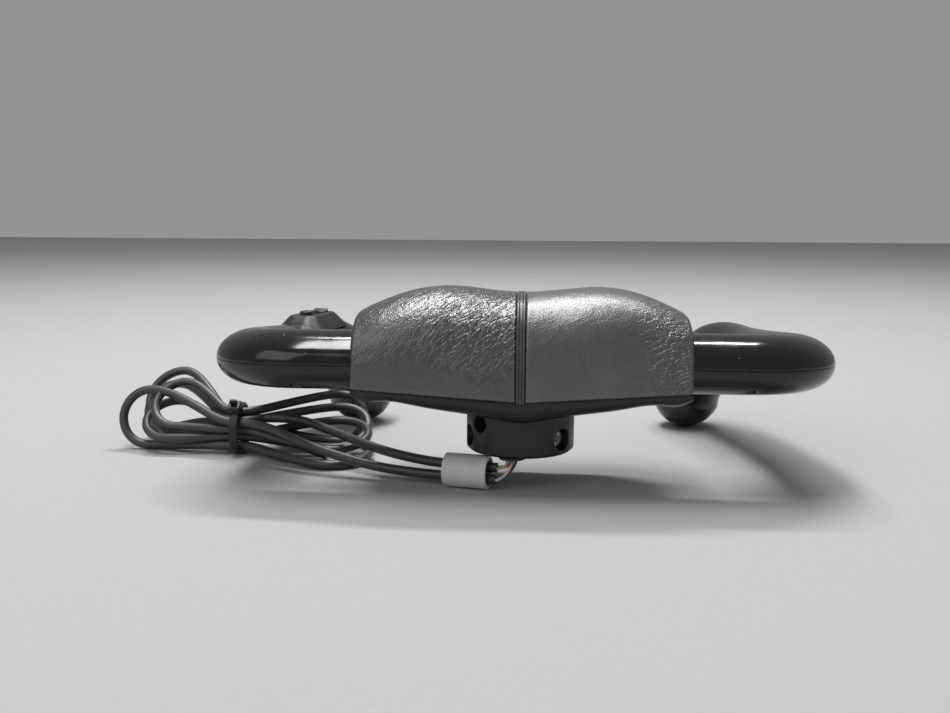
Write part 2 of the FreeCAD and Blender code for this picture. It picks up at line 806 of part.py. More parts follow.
s = SIZES
horn_points = [
    Vector(float(core_end), s["horn_y"], s["horn_z"]),
    Vector(s["horn_corner_x"], s["horn_y"], s["horn_z"]),
    Vector(s["horn_bend_x"], s["horn_bend_y"], s["horn_bend_z"]),
    Vector(s["horn_shoulder_x"], s["horn_shoulder_y"], s["horn_shoulder_z"]),
    Vector(s["horn_tip_x"], s["horn_tip_y"], s["horn_tip_z"]),
]
horn_radii = [s["corner_radius"], s["bend_radius"], s["drop_radius"]]
horn_path = rounded_path(horn_points, horn_radii)
horn_divisions = (3, 5, 1, 1, 2, 4, 1)
swells = [
    (s["horn_width"], s["horn_depth"]),
    (s["horn_width"], s["horn_depth"]),
    (s["grip_width"], s["grip_depth"]),
    (s["upper_width"], s["upper_depth"]),
    (s["tip_width"], s["tip_depth"]),
]


def horn_stations():
    """Stations along the path from the cover's end to the last point, swelling between its points."""
    ends = [0.0]
    for edge in horn_path:
        ends.append(ends[-1] + edge.Length)
    marks = [ends[0]] + [(ends[k] + ends[k + 1]) / 2 for k in (1, 3, 5)] + [ends[-1]]
    root = horn_start - horn_points[0].x
    found = []
    for number, edge in enumerate(horn_path):
        begin = edge.FirstParameter
        reach = edge.LastParameter - begin
        for step in range(horn_divisions[number] + 1):
            share = step / horn_divisions[number]
            gone = ends[number] + edge.Length * share
            if number == 0:
                share = (root + (edge.Length - root) * share) / edge.Length
                gone = edge.Length * share
            elif step == 0:
                continue
            k = max(index for index in range(len(marks) - 1) if marks[index] <= gone + 1e-6)
            mix = ease(min(1.0, (gone - marks[k]) / (marks[k + 1] - marks[k])))
            wide = swells[k][0] + (swells[k + 1][0] - swells[k][0]) * mix
            deep = swells[k][1] + (swells[k + 1][1] - swells[k][1]) * mix
            here = begin + reach * share
            ahead = edge.tangentAt(here).normalize()
            found.append(Station(edge.valueAt(here), ahead, wide / 2, deep / 2))
    return found


def half_section(station, upper, inset=0.0, wall=None):
    """Half an oval: closed by its chord, or open as a wall of the given thickness."""
    first, last = (0, math.pi) if upper else (math.pi, 2 * math.pi)

    def bow(drawn_in):
        oval = Part.Ellipse(Vector(0, 0, 0), station.half_width - drawn_in, station.half_depth - drawn_in)
        return Part.ArcOfEllipse(oval, first, last).toShape()

    outer = bow(inset)
    start, stop = outer.valueAt(outer.FirstParameter), outer.valueAt(outer.LastParameter)
    if wall is None:
        wire = Part.Wire([outer, Part.LineSegment(stop, start).toShape()])
    else:
        inner = bow(wall)
        inner_start, inner_stop = inner.valueAt(inner.FirstParameter), inner.valueAt(inner.LastParameter)
        wire = Part.Wire([
            outer,
            Part.LineSegment(stop, inner_stop).toShape(),
            inner,
            Part.LineSegment(inner_start, start).toShape(),
        ])
    wire.Placement = station.frame()
    return wire


def rounded_end(last, upper):
    """Half of the horn's rounded end, which is half an ellipsoid."""
    ball = Part.makeSphere(1, Vector(0, 0, 0), Vector(0, 0, 1), -90, 0, 180)
    if not upper:
        ball.rotate(Vector(0, 0, 0), Vector(0, 0, 1), 180)
    stretch = Matrix()
    stretch.scale(last.half_width, last.half_depth, s["tip_length"])
    return ball.transformGeometry(last.frame().toMatrix() * stretch)


def rib(station, upper):
    """A flat rib with a half-round notch that the core tube lies in."""
    core = s["core_diameter"] / 2 + s["core_gap"]
    bite = s["horn_wall"] * 0.7
    first, last = (0, math.pi) if upper else (math.pi, 2 * math.pi)
    oval = Part.Ellipse(Vector(0, 0, 0), station.half_width - bite, station.half_depth - bite)
    outer = Part.ArcOfEllipse(oval, first, last).toShape()
    notch = Part.Arc(Part.Circle(Vector(0, 0, 0), Vector(0, 0, 1), core), first, last).toShape()
    edges = [
        outer,
        Part.LineSegment(outer.valueAt(outer.LastParameter), notch.valueAt(notch.LastParameter)).toShape(),
        notch,
        Part.LineSegment(notch.valueAt(notch.FirstParameter), outer.valueAt(outer.FirstParameter)).toShape(),
    ]
    thick = s["rib_thickness"]
    plate = Part.Face(Part.Wire(edges)).extrude(Vector(0, 0, thick))
    plate.translate(Vector(0, 0, -thick / 2))
    plate.Placement = station.frame().multiply(plate.Placement)
    return plate


def post(station, out, low, high, radius):
    """A round post along the station's upward direction."""
    return Part.makeCylinder(radius, high - low, station.at(out, low), station.up)


def horn_half(upper):
    wall = s["horn_wall"]
    skin = Part.makeLoft([half_section(station, upper, 0, wall) for station in stations_all], True, False)
    out = s["horn_boss_side"]
    additions = [rounded_end(stations_all[-1], upper)] + [rib(station, upper) for station in rib_stations]
    bores = []
    for station in boss_stations:
        foot = station.surface(out + s["horn_boss"] / 2, wall * 0.3)
        low, high = (0, foot) if upper else (-foot, 0)
        additions.append(post(station, out, low, high, s["horn_boss"] / 2))
        reach = s["horn_screw_reach"]
        if upper:
            bores.append(post(station, out, -1, reach, s["horn_screw"] / 2))
        else:
            bores.append(post(station, out, -reach - 1, 1, s["horn_screw"] / 2))
            bores.append(post(station, out, -30, -reach, s["horn_screw_head"] / 2 + s["screw_clearance"]))
    return skin.fuse(additions).cut(bores[0].fuse(bores[1:]))


stations_all = horn_stations()
rib_stations = [stations_all[1], stations_all[8], stations_all[14]]
boss_stations = [stations_all[3], stations_all[9]]
grip = stations_all[11]
front_half = horn_half(True)
rear_half = horn_half(False)
horn_form = Part.makeLoft([half_section(station, True) for station in stations_all], True, False)
core_path = horn_path[:-1]
core_tube = tube_along(core_path, s["core_diameter"] / 2).cut(
    tube_along(core_path, s["core_diameter"] / 2 - s["core_wall"]))


def mirrored(solid):
    return solid.mirror(Vector(0, 0, 0), Vector(1, 0, 0))


def horn_screw(station):
    """A pan head screw from the column side into the pilot-side half."""
    reach = s["horn_screw_reach"]
    out = s["horn_boss_side"]
    shank = post(station, out, -reach, reach, s["horn_screw"] / 2)
    head = post(station, out, -reach - s["horn_screw_head_height"], -reach, s["horn_screw_head"] / 2)
    slot = Part.makeBox(10, 0.8, 0.9, Vector(-5, -0.4, 0))
    slot.Placement = Placement(station.at(out, -reach - s["horn_screw_head_height"]),
                               Rotation(station.out, station.ahead, station.up, "ZXY"))
    return shank.fuse(head).cut(slot)


horn_screws = [horn_screw(station) for station in boss_stations]

# Switch housing on the left horn: a saddle that follows the horn, with a rocker well and a button bore
level_ahead = Vector(-grip.ahead.x, grip.ahead.y, 0).normalize()
switch_top = grip.point.z + grip.half_depth + s["switch_height"]
switch_turn = Rotation(level_ahead, Vector(0, 0, 1).cross(level_ahead), Vector(0, 0, 1), "ZXY")
switch_place = Placement(Vector(-grip.point.x, grip.point.y, switch_top), switch_turn)


def in_switch(solid):
    """Move a solid from the switch's own frame (length along X, top at z = 0) to the horn."""
    solid.Placement = switch_place
    return solid


def switch_box(length, width, low, high, ahead=0.0, corner=0.0):
    box = Part.makeBox(length, width, high - low, Vector(ahead - length / 2, -width / 2, low))
    if corner:
        upright = [edge for edge in box.Edges if abs(edge.tangentAt(edge.FirstParameter).z) > 0.9]
        box = box.makeFillet(corner, upright)
    return box


def switch_outline(length, width, corner, height):
    """A rounded rectangle at a height over the horn."""
    box = switch_box(length, width, height - 1, height, 0, corner)
    return max(box.Faces, key=lambda face: face.CenterOfMass.z).OuterWire


def switch_post(diameter, low, high, ahead):
    return Part.makeCylinder(diameter / 2, high - low, Vector(ahead, 0, low))


def cross_pin(diameter, length):
    return Part.makeCylinder(diameter / 2, length, Vector(s["rocker_place"], -length / 2, -s["pin_drop"]),
                             Vector(0, 1, 0))


block_floor = -s["switch_height"] - s["switch_block_depth"]
gap = s["rocker_gap"]
rocker_at = s["rocker_place"]
button_at = s["button_place"]
pin_length = s["rocker_width"] + 5
block_corner = s["switch_block_corner"]
block_fit = 2 * s["switch_block_gap"]
block_room = switch_box(s["switch_block_length"] + block_fit, s["switch_block_width"] + block_fit,
                        block_floor - 1, 6, 0, block_corner)
mound = Part.makeLoft([
    switch_outline(s["mound_length"], s["mound_width"], s["mound_corner"], -s["mound_drop"]),
    switch_outline(s["switch_length"], s["switch_width"], s["switch_corner"], 0),
], True, True)
rim = [edge for edge in mound.Edges if abs(edge.CenterOfMass.z) < 0.01]
mound = mound.makeFillet(s["mound_round"], rim)
inner_block = switch_box(s["switch_block_length"], s["switch_block_width"], block_floor, -2, 0, block_corner)
well = switch_box(s["rocker_length"] + 2 * gap, s["rocker_width"] + 2 * gap, -30, 5, rocker_at)
button_hole = switch_post(s["button_diameter"] + 2 * s["button_gap"], -30, 5, button_at)
flange_room = switch_post(s["button_flange"] + 4 * s["button_gap"], -30, -s["switch_height"], button_at)
saddle = in_switch(mound).cut(mirrored(horn_form))
housing = saddle.fuse(in_switch(inner_block))
openings = well.fuse([button_hole, flange_room, cross_pin(s["rocker_pin"], pin_length)])
housing = housing.cut(in_switch(openings))
node(shape("switch_saddle", housing), "switch_housing")

# Trim rocker on its pin, with its switch body below
half_length = s["rocker_length"] / 2
high = s["rocker_rise"]
foot = s["rocker_foot"] / 2
across = -s["rocker_width"] / 2
top_curve = Part.Arc(Vector(-half_length, across, high), Vector(0, across, high - s["rocker_dish"]),
                     Vector(half_length, across, high)).toShape()
rim_points = [Vector(half_length, across, high), Vector(half_length, across, -1.0),
              Vector(foot, across, -s["rocker_depth"]), Vector(-foot, across, -s["rocker_depth"]),
              Vector(-half_length, across, -1.0), Vector(-half_length, across, high)]
rocker_wire = Part.Wire([top_curve] + Part.makePolygon(rim_points).Edges)
rocker = Part.Face(rocker_wire).extrude(Vector(0, s["rocker_width"], 0))
rocker.translate(Vector(rocker_at, 0, 0))
rocker = rocker.cut(cross_pin(s["rocker_pin"] + 2 * s["pin_gap"], pin_length))
node(shape("rocker", in_switch(rocker)), "trim_rocker")
node(shape("rocker_axle", in_switch(cross_pin(s["rocker_pin"], pin_length))), "rocker_pin")
trim_body = switch_box(s["rocker_length"], s["rocker_width"] + 2 * gap, block_floor,
                       block_floor + s["trim_body_height"], rocker_at)
node(shape("trim_body", in_switch(trim_body)), "trim_switch")

# Push-to-talk button, its return spring and the switch body that the spring stands on
flange_top = -s["switch_height"] - s["button_rest_gap"]
flange_low = flange_top - s["button_flange_height"]
cap = switch_post(s["button_diameter"], flange_top, s["button_height"], button_at)
cap_rim = [edge for edge in cap.Edges if abs(edge.CenterOfMass.z - s["button_height"]) < 0.01]
cap = cap.makeFillet(1.0, cap_rim)
stem_low = flange_low - s["button_stem_length"]
button = cap.fuse([switch_post(s["button_flange"], flange_low, flange_top, button_at),
                   switch_post(s["button_stem"], stem_low, flange_low, button_at)])
node(shape("button", in_switch(button)), "ptt_button")
seat_height = block_floor + 0.8
talk_body = switch_post(s["button_flange"] + 4 * s["button_gap"], block_floor - 0.7, seat_height, button_at)
node(shape("talk_body", in_switch(talk_body)), "ptt_switch")
wire_radius = s["spring_wire"] / 2
spring_height = flange_low - seat_height - s["spring_wire"]
coil = Part.makeHelix(spring_height / s["spring_turns"], spring_height, s["spring_diameter"] / 2)
coil_start = Vector(s["spring_diameter"] / 2, 0, 0)
ring = Part.Wire([Part.Circle(coil_start, Vector(0, 1, 0), wire_radius).toShape()])
spring = Part.Wire(coil).makePipeShell([ring], True, True)
spring.translate(Vector(button_at, 0, seat_height + wire_radius))
spring.Placement = switch_place.multiply(spring.Placement)
node(shape("spring", spring), "ptt_spring")

# The horns' own nodes
window_foot = Vector(-grip.point.x, grip.point.y, grip.point.z)
core_window = Part.makeCylinder(s["core_window"] / 2, s["core_diameter"], window_foot)
node(shape("horn_left_upper", mirrored(front_half).cut(in_switch(block_room))), "horn_left_front_half")
node(shape("horn_left_lower", mirrored(rear_half)), "horn_left_rear_half")
node(shape("horn_right_upper", front_half), "horn_right_front_half")
node(shape("horn_right_lower", rear_half), "horn_right_rear_half")
node(shape("core_left", mirrored(core_tube).cut(core_window)), "horn_core_left")
node(shape("core_right", core_tube), "horn_core_right")
node(shape("screws_left", Part.makeCompound([mirrored(screw) for screw in horn_screws])), "horn_screws_left")
node(shape("screws_right", Part.makeCompound(horn_screws)), "horn_screws_right")

# Wiring harness: from the outlet up through the frame and out along the left core to the switches
harness_radius = s["harness_diameter"] / 2
harness_lift = s["core_diameter"] / 2 - s["core_wall"] - harness_radius - s["harness_gap"]
lifted = [Vector(-point.x, point.y, point.z + harness_lift) for point in horn_points[:4]]
stop = lifted[2] + (lifted[3] - lifted[2]) * s["harness_stop"]
outlet = Vector(float(outlet_x), float(outlet_y), 0)
harness_points = [outlet, Vector(outlet.x, outlet.y, lifted[0].z), lifted[0], lifted[1], lifted[2], stop]
harness_radii = [s["harness_bend"], s["harness_lead_radius"], s["corner_radius"], s["bend_radius"]]
harness = tube_along(rounded_path(harness_points, harness_radii), harness_radius)
node(shape("harness", harness), "horn_harness")

# Cables and what is on them
floor = -s["sleeve_diameter"] - s["sleeve_gap"]
sleeve_angle = math.radians(s["sleeve_turn"])
sleeve_ahead = Vector(math.cos(sleeve_angle), math.sin(sleeve_angle), 0)
sleeve_side = Vector(-sleeve_ahead.y, sleeve_ahead.x, 0)
sleeve_centre = Vector(s["sleeve_x"], s["sleeve_y"], floor + s["sleeve_diameter"] / 2 + 0.1)
sleeve_radius = s["sleeve_diameter"] / 2
sleeve_foot = sleeve_centre - sleeve_ahead * (s["sleeve_length"] / 2)
sleeve = Part.makeCylinder(sleeve_radius, s["sleeve_length"], sleeve_foot, sleeve_ahead)
sleeve = sleeve.cut(Part.makeCylinder(s["sleeve_bore"] / 2, s["sleeve_length"] + 2,
                                      sleeve_foot - sleeve_ahead, sleeve_ahead))
mouth_edges = [edge for edge in sleeve.Edges
               if edge.Closed and abs(edge.Curve.Radius - sleeve_radius) < 0.01]
sleeve = sleeve.makeFillet(0.5, mouth_edges)
node(shape("sleeve", sleeve), "cable_sleeve")


def run_radii(points, share=0.45):
    """The largest arc that each corner's shorter run allows."""
    radii = []
    for before, corner, after in zip(points, points[1:], points[2:]):
        turn = math.pi - (before - corner).getAngle(after - corner)
        shorter = min((before - corner).Length, (after - corner).Length)
        radii.append(share * shorter / math.tan(turn / 2))
    return radii


def cord(name, points, diameter):
    """A cord's tube through hand-placed points, with its arc radii and its volume printed."""
    radii = run_radii(points)
    edges = rounded_path(points, radii)
    tube = tube_along(edges, diameter / 2)
    length = sum(edge.Length for edge in edges)
    expected = math.pi * diameter ** 2 / 4 * length
    print(name, "length", round(length, 1), "radii", [round(radius, 1) for radius in radii],
          "volume ratio", round(tube.Volume / expected, 4))
    return tube


def in_sleeve(ahead, side, up):
    return sleeve_centre + sleeve_ahead * ahead + sleeve_side * side + Vector(0, 0, up)


trim_route = [
    in_sleeve(16, 1.6, 2.4),
    in_sleeve(-11, 1.6, 2.4),
    Vector(-58, -1, -7.5),
    Vector(-78, 9, -5.5),
    Vector(-95, 25, -4),
]
talk_route = [
    in_sleeve(16, -1.8, -3.2),
    in_sleeve(-11, -1.8, -3.2),
    Vector(-57, -8, -13.5),
    Vector(-79, -3, -12),
    Vector(-101, 5, -8.5),
    Vector(-123, 16, -4.5),
]
node(shape("trim_lead", cord("trim cable", trim_route, s["cable_diameter"])), "trim_cable_lead")
node(shape("talk_lead", cord("talk cable", talk_route, s["cable_diameter"])), "ptt_cable_lead")

# Hank: the outer form of the coiled cables, waisted at the tie
waist = s["waist_height"]
HANK = (
    # beside the tie, behind it, half depth, lift off the floor, height
    (-76.5, 18.0, 7.1, 12.0, 14.0),
    (-73.0, 19.0, 16.0, 4.0, 31.0),
    (-64.0, 26.0, 22.0, 0.8, 38.5),
    (-54.0, 20.0, 28.0, 0.2, 45.5),
    (-43.0, 18.0, 28.0, 0.1, 45.5),
    (-33.0, 15.0, 25.0, 0.2, 44.0),
    (-18.0, 6.0, 18.3, 1.0, 36.5),
    (-4.0, 0.0, s["waist_depth"] / 2, s["waist_lift"], waist),
    (4.0, 0.0, s["waist_depth"] / 2, s["waist_lift"], waist),
    (18.0, -1.5, 19.5, 1.0, 31.0),
    (36.0, -2.0, 33.0, 0.3, 32.5),
    (52.0, 0.0, 39.0, 0.1, 31.5),
    (66.0, -1.0, 38.0, 0.1, 30.0),
    (76.0, -4.0, 33.0, 0.5, 26.5),
    (82.0, -10.0, 20.0, 1.5, 14.0),
)


def hank_wire(beside, behind, half, lift, height):
    middle = Vector(s["tie_place"] + beside, s["hank_y"] + behind, floor + lift + height / 2)
    oval = Part.Ellipse(Vector(0, 0, 0), max(half, height / 2 + 0.01), height / 2)
    quarter = math.pi / 2
    bows = [Part.ArcOfEllipse(oval, start, start + math.pi).toShape() for start in (quarter, 3 * quarter)]
    wire = Part.Wire(bows)
    wire.Placement = Placement(middle, Rotation(Vector(0, 1, 0), Vector(0, 0, 1), Vector(1, 0, 0), "ZXY"))
    return wire


hank = Part.makeLoft([hank_wire(*row) for row in HANK], True, False)
node(shape("hank", hank), "cable_hank")

# Cable tie round the waist of the hank
tie_centre = Vector(s["tie_place"], s["hank_y"], floor + s["waist_lift"] + waist / 2)


def tie_ring(grow, width):
    oval = Part.Ellipse(Vector(0, 0, 0), s["waist_depth"] / 2 + grow, s["waist_height"] / 2 + grow)
    face = Part.Face(Part.Wire([oval.toShape()]))
    face.Placement = Placement(tie_centre - Vector(width / 2, 0, 0),
                               Rotation(Vector(0, 1, 0), Vector(0, 0, 1), Vector(1, 0, 0), "ZXY"))
    return face.extrude(Vector(width, 0, 0))


strap_gap = s["tie_gap"]
strap = tie_ring(strap_gap + s["tie_thickness"], s["tie_width"])
strap_room = tie_ring(strap_gap, s["tie_width"] + 2)
lock_angle = math.radians(s["tie_head_angle"])
lock_way = Vector(0, math.cos(lock_angle), math.sin(lock_angle))
lock_foot = tie_centre + Vector(0, (s["waist_depth"] / 2 + strap_gap) * lock_way.y,
                                (s["waist_height"] / 2 + strap_gap) * lock_way.z)
lock = Part.makeBox(s["tie_head"], s["tie_head"], s["tie_head_height"],
                    Vector(-s["tie_head"] / 2, -s["tie_head"] / 2, 0))
lock = lock.makeFillet(s["tie_round"], lock.Edges)
lock.Placement = Placement(lock_foot, Rotation(Vector(1, 0, 0), Vector(), lock_way, "ZXY"))
tail = Part.makeBox(s["tie_width"] - 1, s["tie_thickness"], s["tie_tail"],
                    Vector(-s["tie_width"] / 2 + 0.5, -s["tie_thickness"] / 2, s["tie_head_height"] - 0.5))
tail.Placement = lock.Placement
node(shape("tie", strap.fuse([lock, tail]).cut(strap_room)), "cable_tie")

# Bare wires from the grommet down to the jackets
wires = []
wire_start = -s["grommet_flange"]
wire_places = (
    (-2.4, -0.6, trim_route),
    (-0.8, -1.6, trim_route),
    (0.8, -0.6, talk_route),
    (2.4, -1.6, talk_route),
)
for number, (across, along_y, route) in enumerate(wire_places):
    jacket = route[0] + sleeve_side * (1.2 if number % 2 else -1.2)
    top = outlet + Vector(across, along_y, wire_start)
    wires.append(cord(f"wire {number}", [
        top,
        top + Vector(-0.6, -1.6, -3.6),
        jacket + sleeve_ahead * 3.6 + Vector(0, -0.6, 0.8),
        jacket,
    ], s["wire_diameter"]))
node(shape("wires", Part.makeCompound(wires)), "wire_tails")

print("switch frame", switch_place, "ahead", level_ahead, "side", Vector(0, 0, 1).cross(level_ahead))

# Check every object, then write each sub-part
doc.recompute()
for thing in doc.Objects:
    if "Invalid" in thing.State or "Error" in thing.State:
        raise RuntimeError(f"{thing.Name} failed: {thing.State}")
for thing in parts:
    if thing.Shape.isNull() or not thing.Shape.isValid():
        raise RuntimeError(f"{thing.Label} has no valid shape")
    print(thing.Label, len(thing.Shape.Solids), round(thing.Shape.Volume), thing.Shape.BoundBox)
for thing in parts:
    thing.Shape.exportStep(f"parts/{thing.Label}.step")
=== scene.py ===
"""Aircraft control wheel lying pilot side up, with its cables tied in a hank: looks of every piece."""
import math

import bmesh
import bpy
from mathutils import Matrix, Vector, noise


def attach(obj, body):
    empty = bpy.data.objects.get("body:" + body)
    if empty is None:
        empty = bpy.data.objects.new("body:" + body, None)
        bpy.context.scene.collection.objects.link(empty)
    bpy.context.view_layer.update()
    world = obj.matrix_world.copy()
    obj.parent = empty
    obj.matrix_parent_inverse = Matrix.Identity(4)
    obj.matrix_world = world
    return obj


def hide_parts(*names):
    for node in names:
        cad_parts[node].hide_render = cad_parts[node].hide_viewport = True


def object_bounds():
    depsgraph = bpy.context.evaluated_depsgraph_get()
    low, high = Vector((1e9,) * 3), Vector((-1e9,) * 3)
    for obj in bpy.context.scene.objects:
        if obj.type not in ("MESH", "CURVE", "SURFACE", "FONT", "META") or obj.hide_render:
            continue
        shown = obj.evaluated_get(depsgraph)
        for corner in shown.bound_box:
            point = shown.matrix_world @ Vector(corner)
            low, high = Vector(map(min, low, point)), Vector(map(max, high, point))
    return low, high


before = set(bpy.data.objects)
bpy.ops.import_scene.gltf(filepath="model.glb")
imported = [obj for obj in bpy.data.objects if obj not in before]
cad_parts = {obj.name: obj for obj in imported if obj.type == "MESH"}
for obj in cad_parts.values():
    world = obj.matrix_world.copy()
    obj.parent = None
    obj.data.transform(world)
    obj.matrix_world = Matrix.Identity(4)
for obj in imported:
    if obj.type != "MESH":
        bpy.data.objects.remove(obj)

bl_info = {
    "name": "Aircraft Control Wheel",
    "version": (1, 0, 0),
    "blender": (4, 5, 0),
    "location": "3D View > Sidebar > Wheel",
    "description": "Builds the padded control wheel's pieces and finishes round its packed solids",
    "category": "Object",
}

MM = 0.001
WHEEL_BODY = "wheel"
ROCKER_BODY = "trim_rocker_body"
SHEET = "sheet"
CAD_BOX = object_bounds()

# Places that the solids and the scene share, in millimetres
TIE_CENTRE = (-170.0, 52.0, -3.8)
SLEEVE_CENTRE = (-27.8, -14.5, -10.2)
SLEEVE_TURN = math.radians(-13)
WIRE_OUTLET = (-3.99, -21.53, 0.0)


def metres(points):
    return [tuple(value * MM for value in point) for point in points]


# Sizes and colours that a user may change

class CoverSizes(bpy.types.PropertyGroup):
    """The padded cover: its reach, and its height and depth at the centre, the shoulder and the end."""

    span: bpy.props.FloatProperty(name="Span", description="Half width of the cover", default=0.086, unit="LENGTH")
    shoulder: bpy.props.FloatProperty(
        name="Shoulder", description="Distance of the highest section from the centre", default=0.041, unit="LENGTH")
    front: bpy.props.FloatVectorProperty(
        name="Front", description="Reach forward at the centre, shoulder and end",
        default=(0.044, 0.0435, 0.0415), size=3, unit="LENGTH")
    back: bpy.props.FloatVectorProperty(
        name="Back", description="Reach backward at the centre, shoulder and end",
        default=(0.041, 0.043, 0.024), size=3, unit="LENGTH")
    top: bpy.props.FloatVectorProperty(
        name="Top", description="Height at the centre, shoulder and end",
        default=(0.084, 0.087, 0.074), size=3, unit="LENGTH")
    low: bpy.props.FloatVectorProperty(
        name="Lower edge", description="Height of the lower edge at the centre and the end",
        default=(0.032, 0.0374), size=2, unit="LENGTH")
    fullness: bpy.props.FloatProperty(
        name="Fullness", description="Roundness of a section: 2 is an oval, more is fuller", default=3.0)
    thickness: bpy.props.FloatProperty(
        name="Pad thickness", description="Thickness of foam and skin", default=0.0078, unit="LENGTH")
    seam_roll: bpy.props.FloatProperty(
        name="Seam roll", description="Edge radius along the trim strip", default=0.0011, unit="LENGTH")
    end_roll: bpy.props.FloatProperty(
        name="End roll", description="Edge radius at the horns", default=0.0026, unit="LENGTH")
    low_roll: bpy.props.FloatProperty(
        name="Lower roll", description="Edge radius along the back shell", default=0.0014, unit="LENGTH")
    crease: bpy.props.FloatProperty(
        name="Crease depth", description="Depth of the deepest wrinkles", default=0.00055, unit="LENGTH")


class TrimSizes(bpy.types.PropertyGroup):
    """The strip between the pads."""

    width: bpy.props.FloatProperty(name="Width", description="Width of the strip", default=0.0044, unit="LENGTH")
    proud: bpy.props.FloatProperty(
        name="Proud", description="How far it stands over the pads", default=0.0004, unit="LENGTH")
    groove: bpy.props.FloatProperty(
        name="Groove", description="Depth of its two fine grooves", default=0.00045, unit="LENGTH")


class CableSizes(bpy.types.PropertyGroup):
    """The two jacketed cables and the bare wires."""

    diameter: bpy.props.FloatProperty(
        name="Cable diameter", description="Diameter of a jacket", default=0.0053, unit="LENGTH")
    wire: bpy.props.FloatProperty(
        name="Wire diameter", description="Diameter of an insulated wire", default=0.0015, unit="LENGTH")
    talk_length: bpy.props.FloatProperty(
        name="Push-to-talk cable", description="Real length of the cable", default=1.12, unit="LENGTH")
    trim_length: bpy.props.FloatProperty(
        name="Trim cable", description="Real length of the cable", default=0.90, unit="LENGTH")


class Colours(bpy.types.PropertyGroup):
    """Base colours of the finishes, linear."""

    skin: bpy.props.FloatVectorProperty(
        name="Pad skin", description="Leather-like skin", default=(0.028, 0.029, 0.032), size=3, subtype="COLOR")
    moulding: bpy.props.FloatVectorProperty(
        name="Mouldings", description="Satin mouldings", default=(0.014, 0.0145, 0.016), size=3, subtype="COLOR")
    horn: bpy.props.FloatVectorProperty(
        name="Horns", description="Glossy horns", default=(0.006, 0.0062, 0.007), size=3, subtype="COLOR")
    sleeve: bpy.props.FloatVectorProperty(
        name="Sleeve", description="White cable sleeve", default=(0.68, 0.68, 0.67), size=3, subtype="COLOR")
    floor: bpy.props.FloatVectorProperty(
        name="Floor", description="Plain pale floor", default=(0.42, 0.42, 0.425), size=3, subtype="COLOR")


class WheelSettings(bpy.types.PropertyGroup):
    """Everything that can be set on the wheel."""

    cover: bpy.props.PointerProperty(type=CoverSizes)
    trim: bpy.props.PointerProperty(type=TrimSizes)
    cable: bpy.props.PointerProperty(type=CableSizes)
    colours: bpy.props.PointerProperty(type=Colours)


def wheel():
    return bpy.context.scene.control_wheel


# Fixed colours, linear
PALE_FLECK = (0.27, 0.27, 0.275)
WORN_PAINT = (0.18, 0.18, 0.185)
JACKET = (0.035, 0.0355, 0.037)
JACKET_DUST = (0.075, 0.075, 0.077)
JACKET_SCUFF = (0.1, 0.1, 0.1)
GROMMET_RUBBER = (0.016, 0.016, 0.017)
HARNESS_SHEATH = (0.03, 0.03, 0.03)

# Moulded finishes: colour, roughness, and pitch of the spark texture in millimetres
MOULDED = {
    "trim_satin": ((0.06, 0.061, 0.064), 0.28, 0.3),
    "carrier_moulding": ((0.03, 0.03, 0.031), 0.42, 0.35),
    "rocker_moulding": ((0.045, 0.045, 0.048), 0.36, 0.3),
    "switch_body": ((0.04, 0.04, 0.044), 0.42, 0.35),
    "button_switch_body": ((0.04, 0.04, 0.044), 0.42, 0.35),
    "button_black": ((0.03, 0.03, 0.032), 0.3, 0.4),
    "tie_nylon": ((0.013, 0.013, 0.014), 0.33, 0.5),
}

# Metals: colour, roughness, and pitch of the turning marks in millimetres
METALS = {
    "black_steel": ((0.06, 0.06, 0.062), 0.32, 0.4),
    "bright_steel": ((0.62, 0.62, 0.64), 0.22, 0.4),
    "cast_alloy": ((0.5, 0.5, 0.52), 0.45, 0.8),
    "pin_steel": ((0.6, 0.6, 0.62), 0.25, 0.4),
    "spring_wire": ((0.55, 0.55, 0.57), 0.28, 0.2),
    "core_steel": ((0.5, 0.5, 0.52), 0.35, 0.4),
    "core_steel_right": ((0.5, 0.5, 0.52), 0.35, 0.4),
}


# Finishes: arithmetic on sockets, and one call for every other node. The numbers in a finish are its recipe: pitches
# and depths are in millimetres, places on a pad's sheet in metres and turns in degrees, and the rest are shares.

class Level:
    """A value that varies over a surface; arithmetic on it adds Math nodes."""

    def __init__(self, finish, socket):
        self.finish = finish
        self.socket = socket

    def maths(self, operation, *values):
        made = self.finish.node("ShaderNodeMath", {"operation": operation}, dict(enumerate(values)))
        return Level(self.finish, made.outputs[0])

    def __add__(self, other):
        return self.maths("ADD", self, other)

    def __sub__(self, other):
        return self.maths("SUBTRACT", self, other)

    def __mul__(self, other):
        return self.maths("MULTIPLY", self, other)

    def __rsub__(self, other):
        return self.maths("SUBTRACT", other, self)

    __radd__ = __add__
    __rmul__ = __mul__

    def size(self):
        return self.maths("ABSOLUTE", self)

    def between(self, low, high, first=0.0, last=1.0):
        """A smooth rise from first to last as the value goes from low to high."""
        made = self.finish.node("ShaderNodeMapRange", {"interpolation_type": "SMOOTHSTEP"},
                                {0: self, 1: low, 2: high, 3: first, 4: last})
        return Level(self.finish, made.outputs[0])


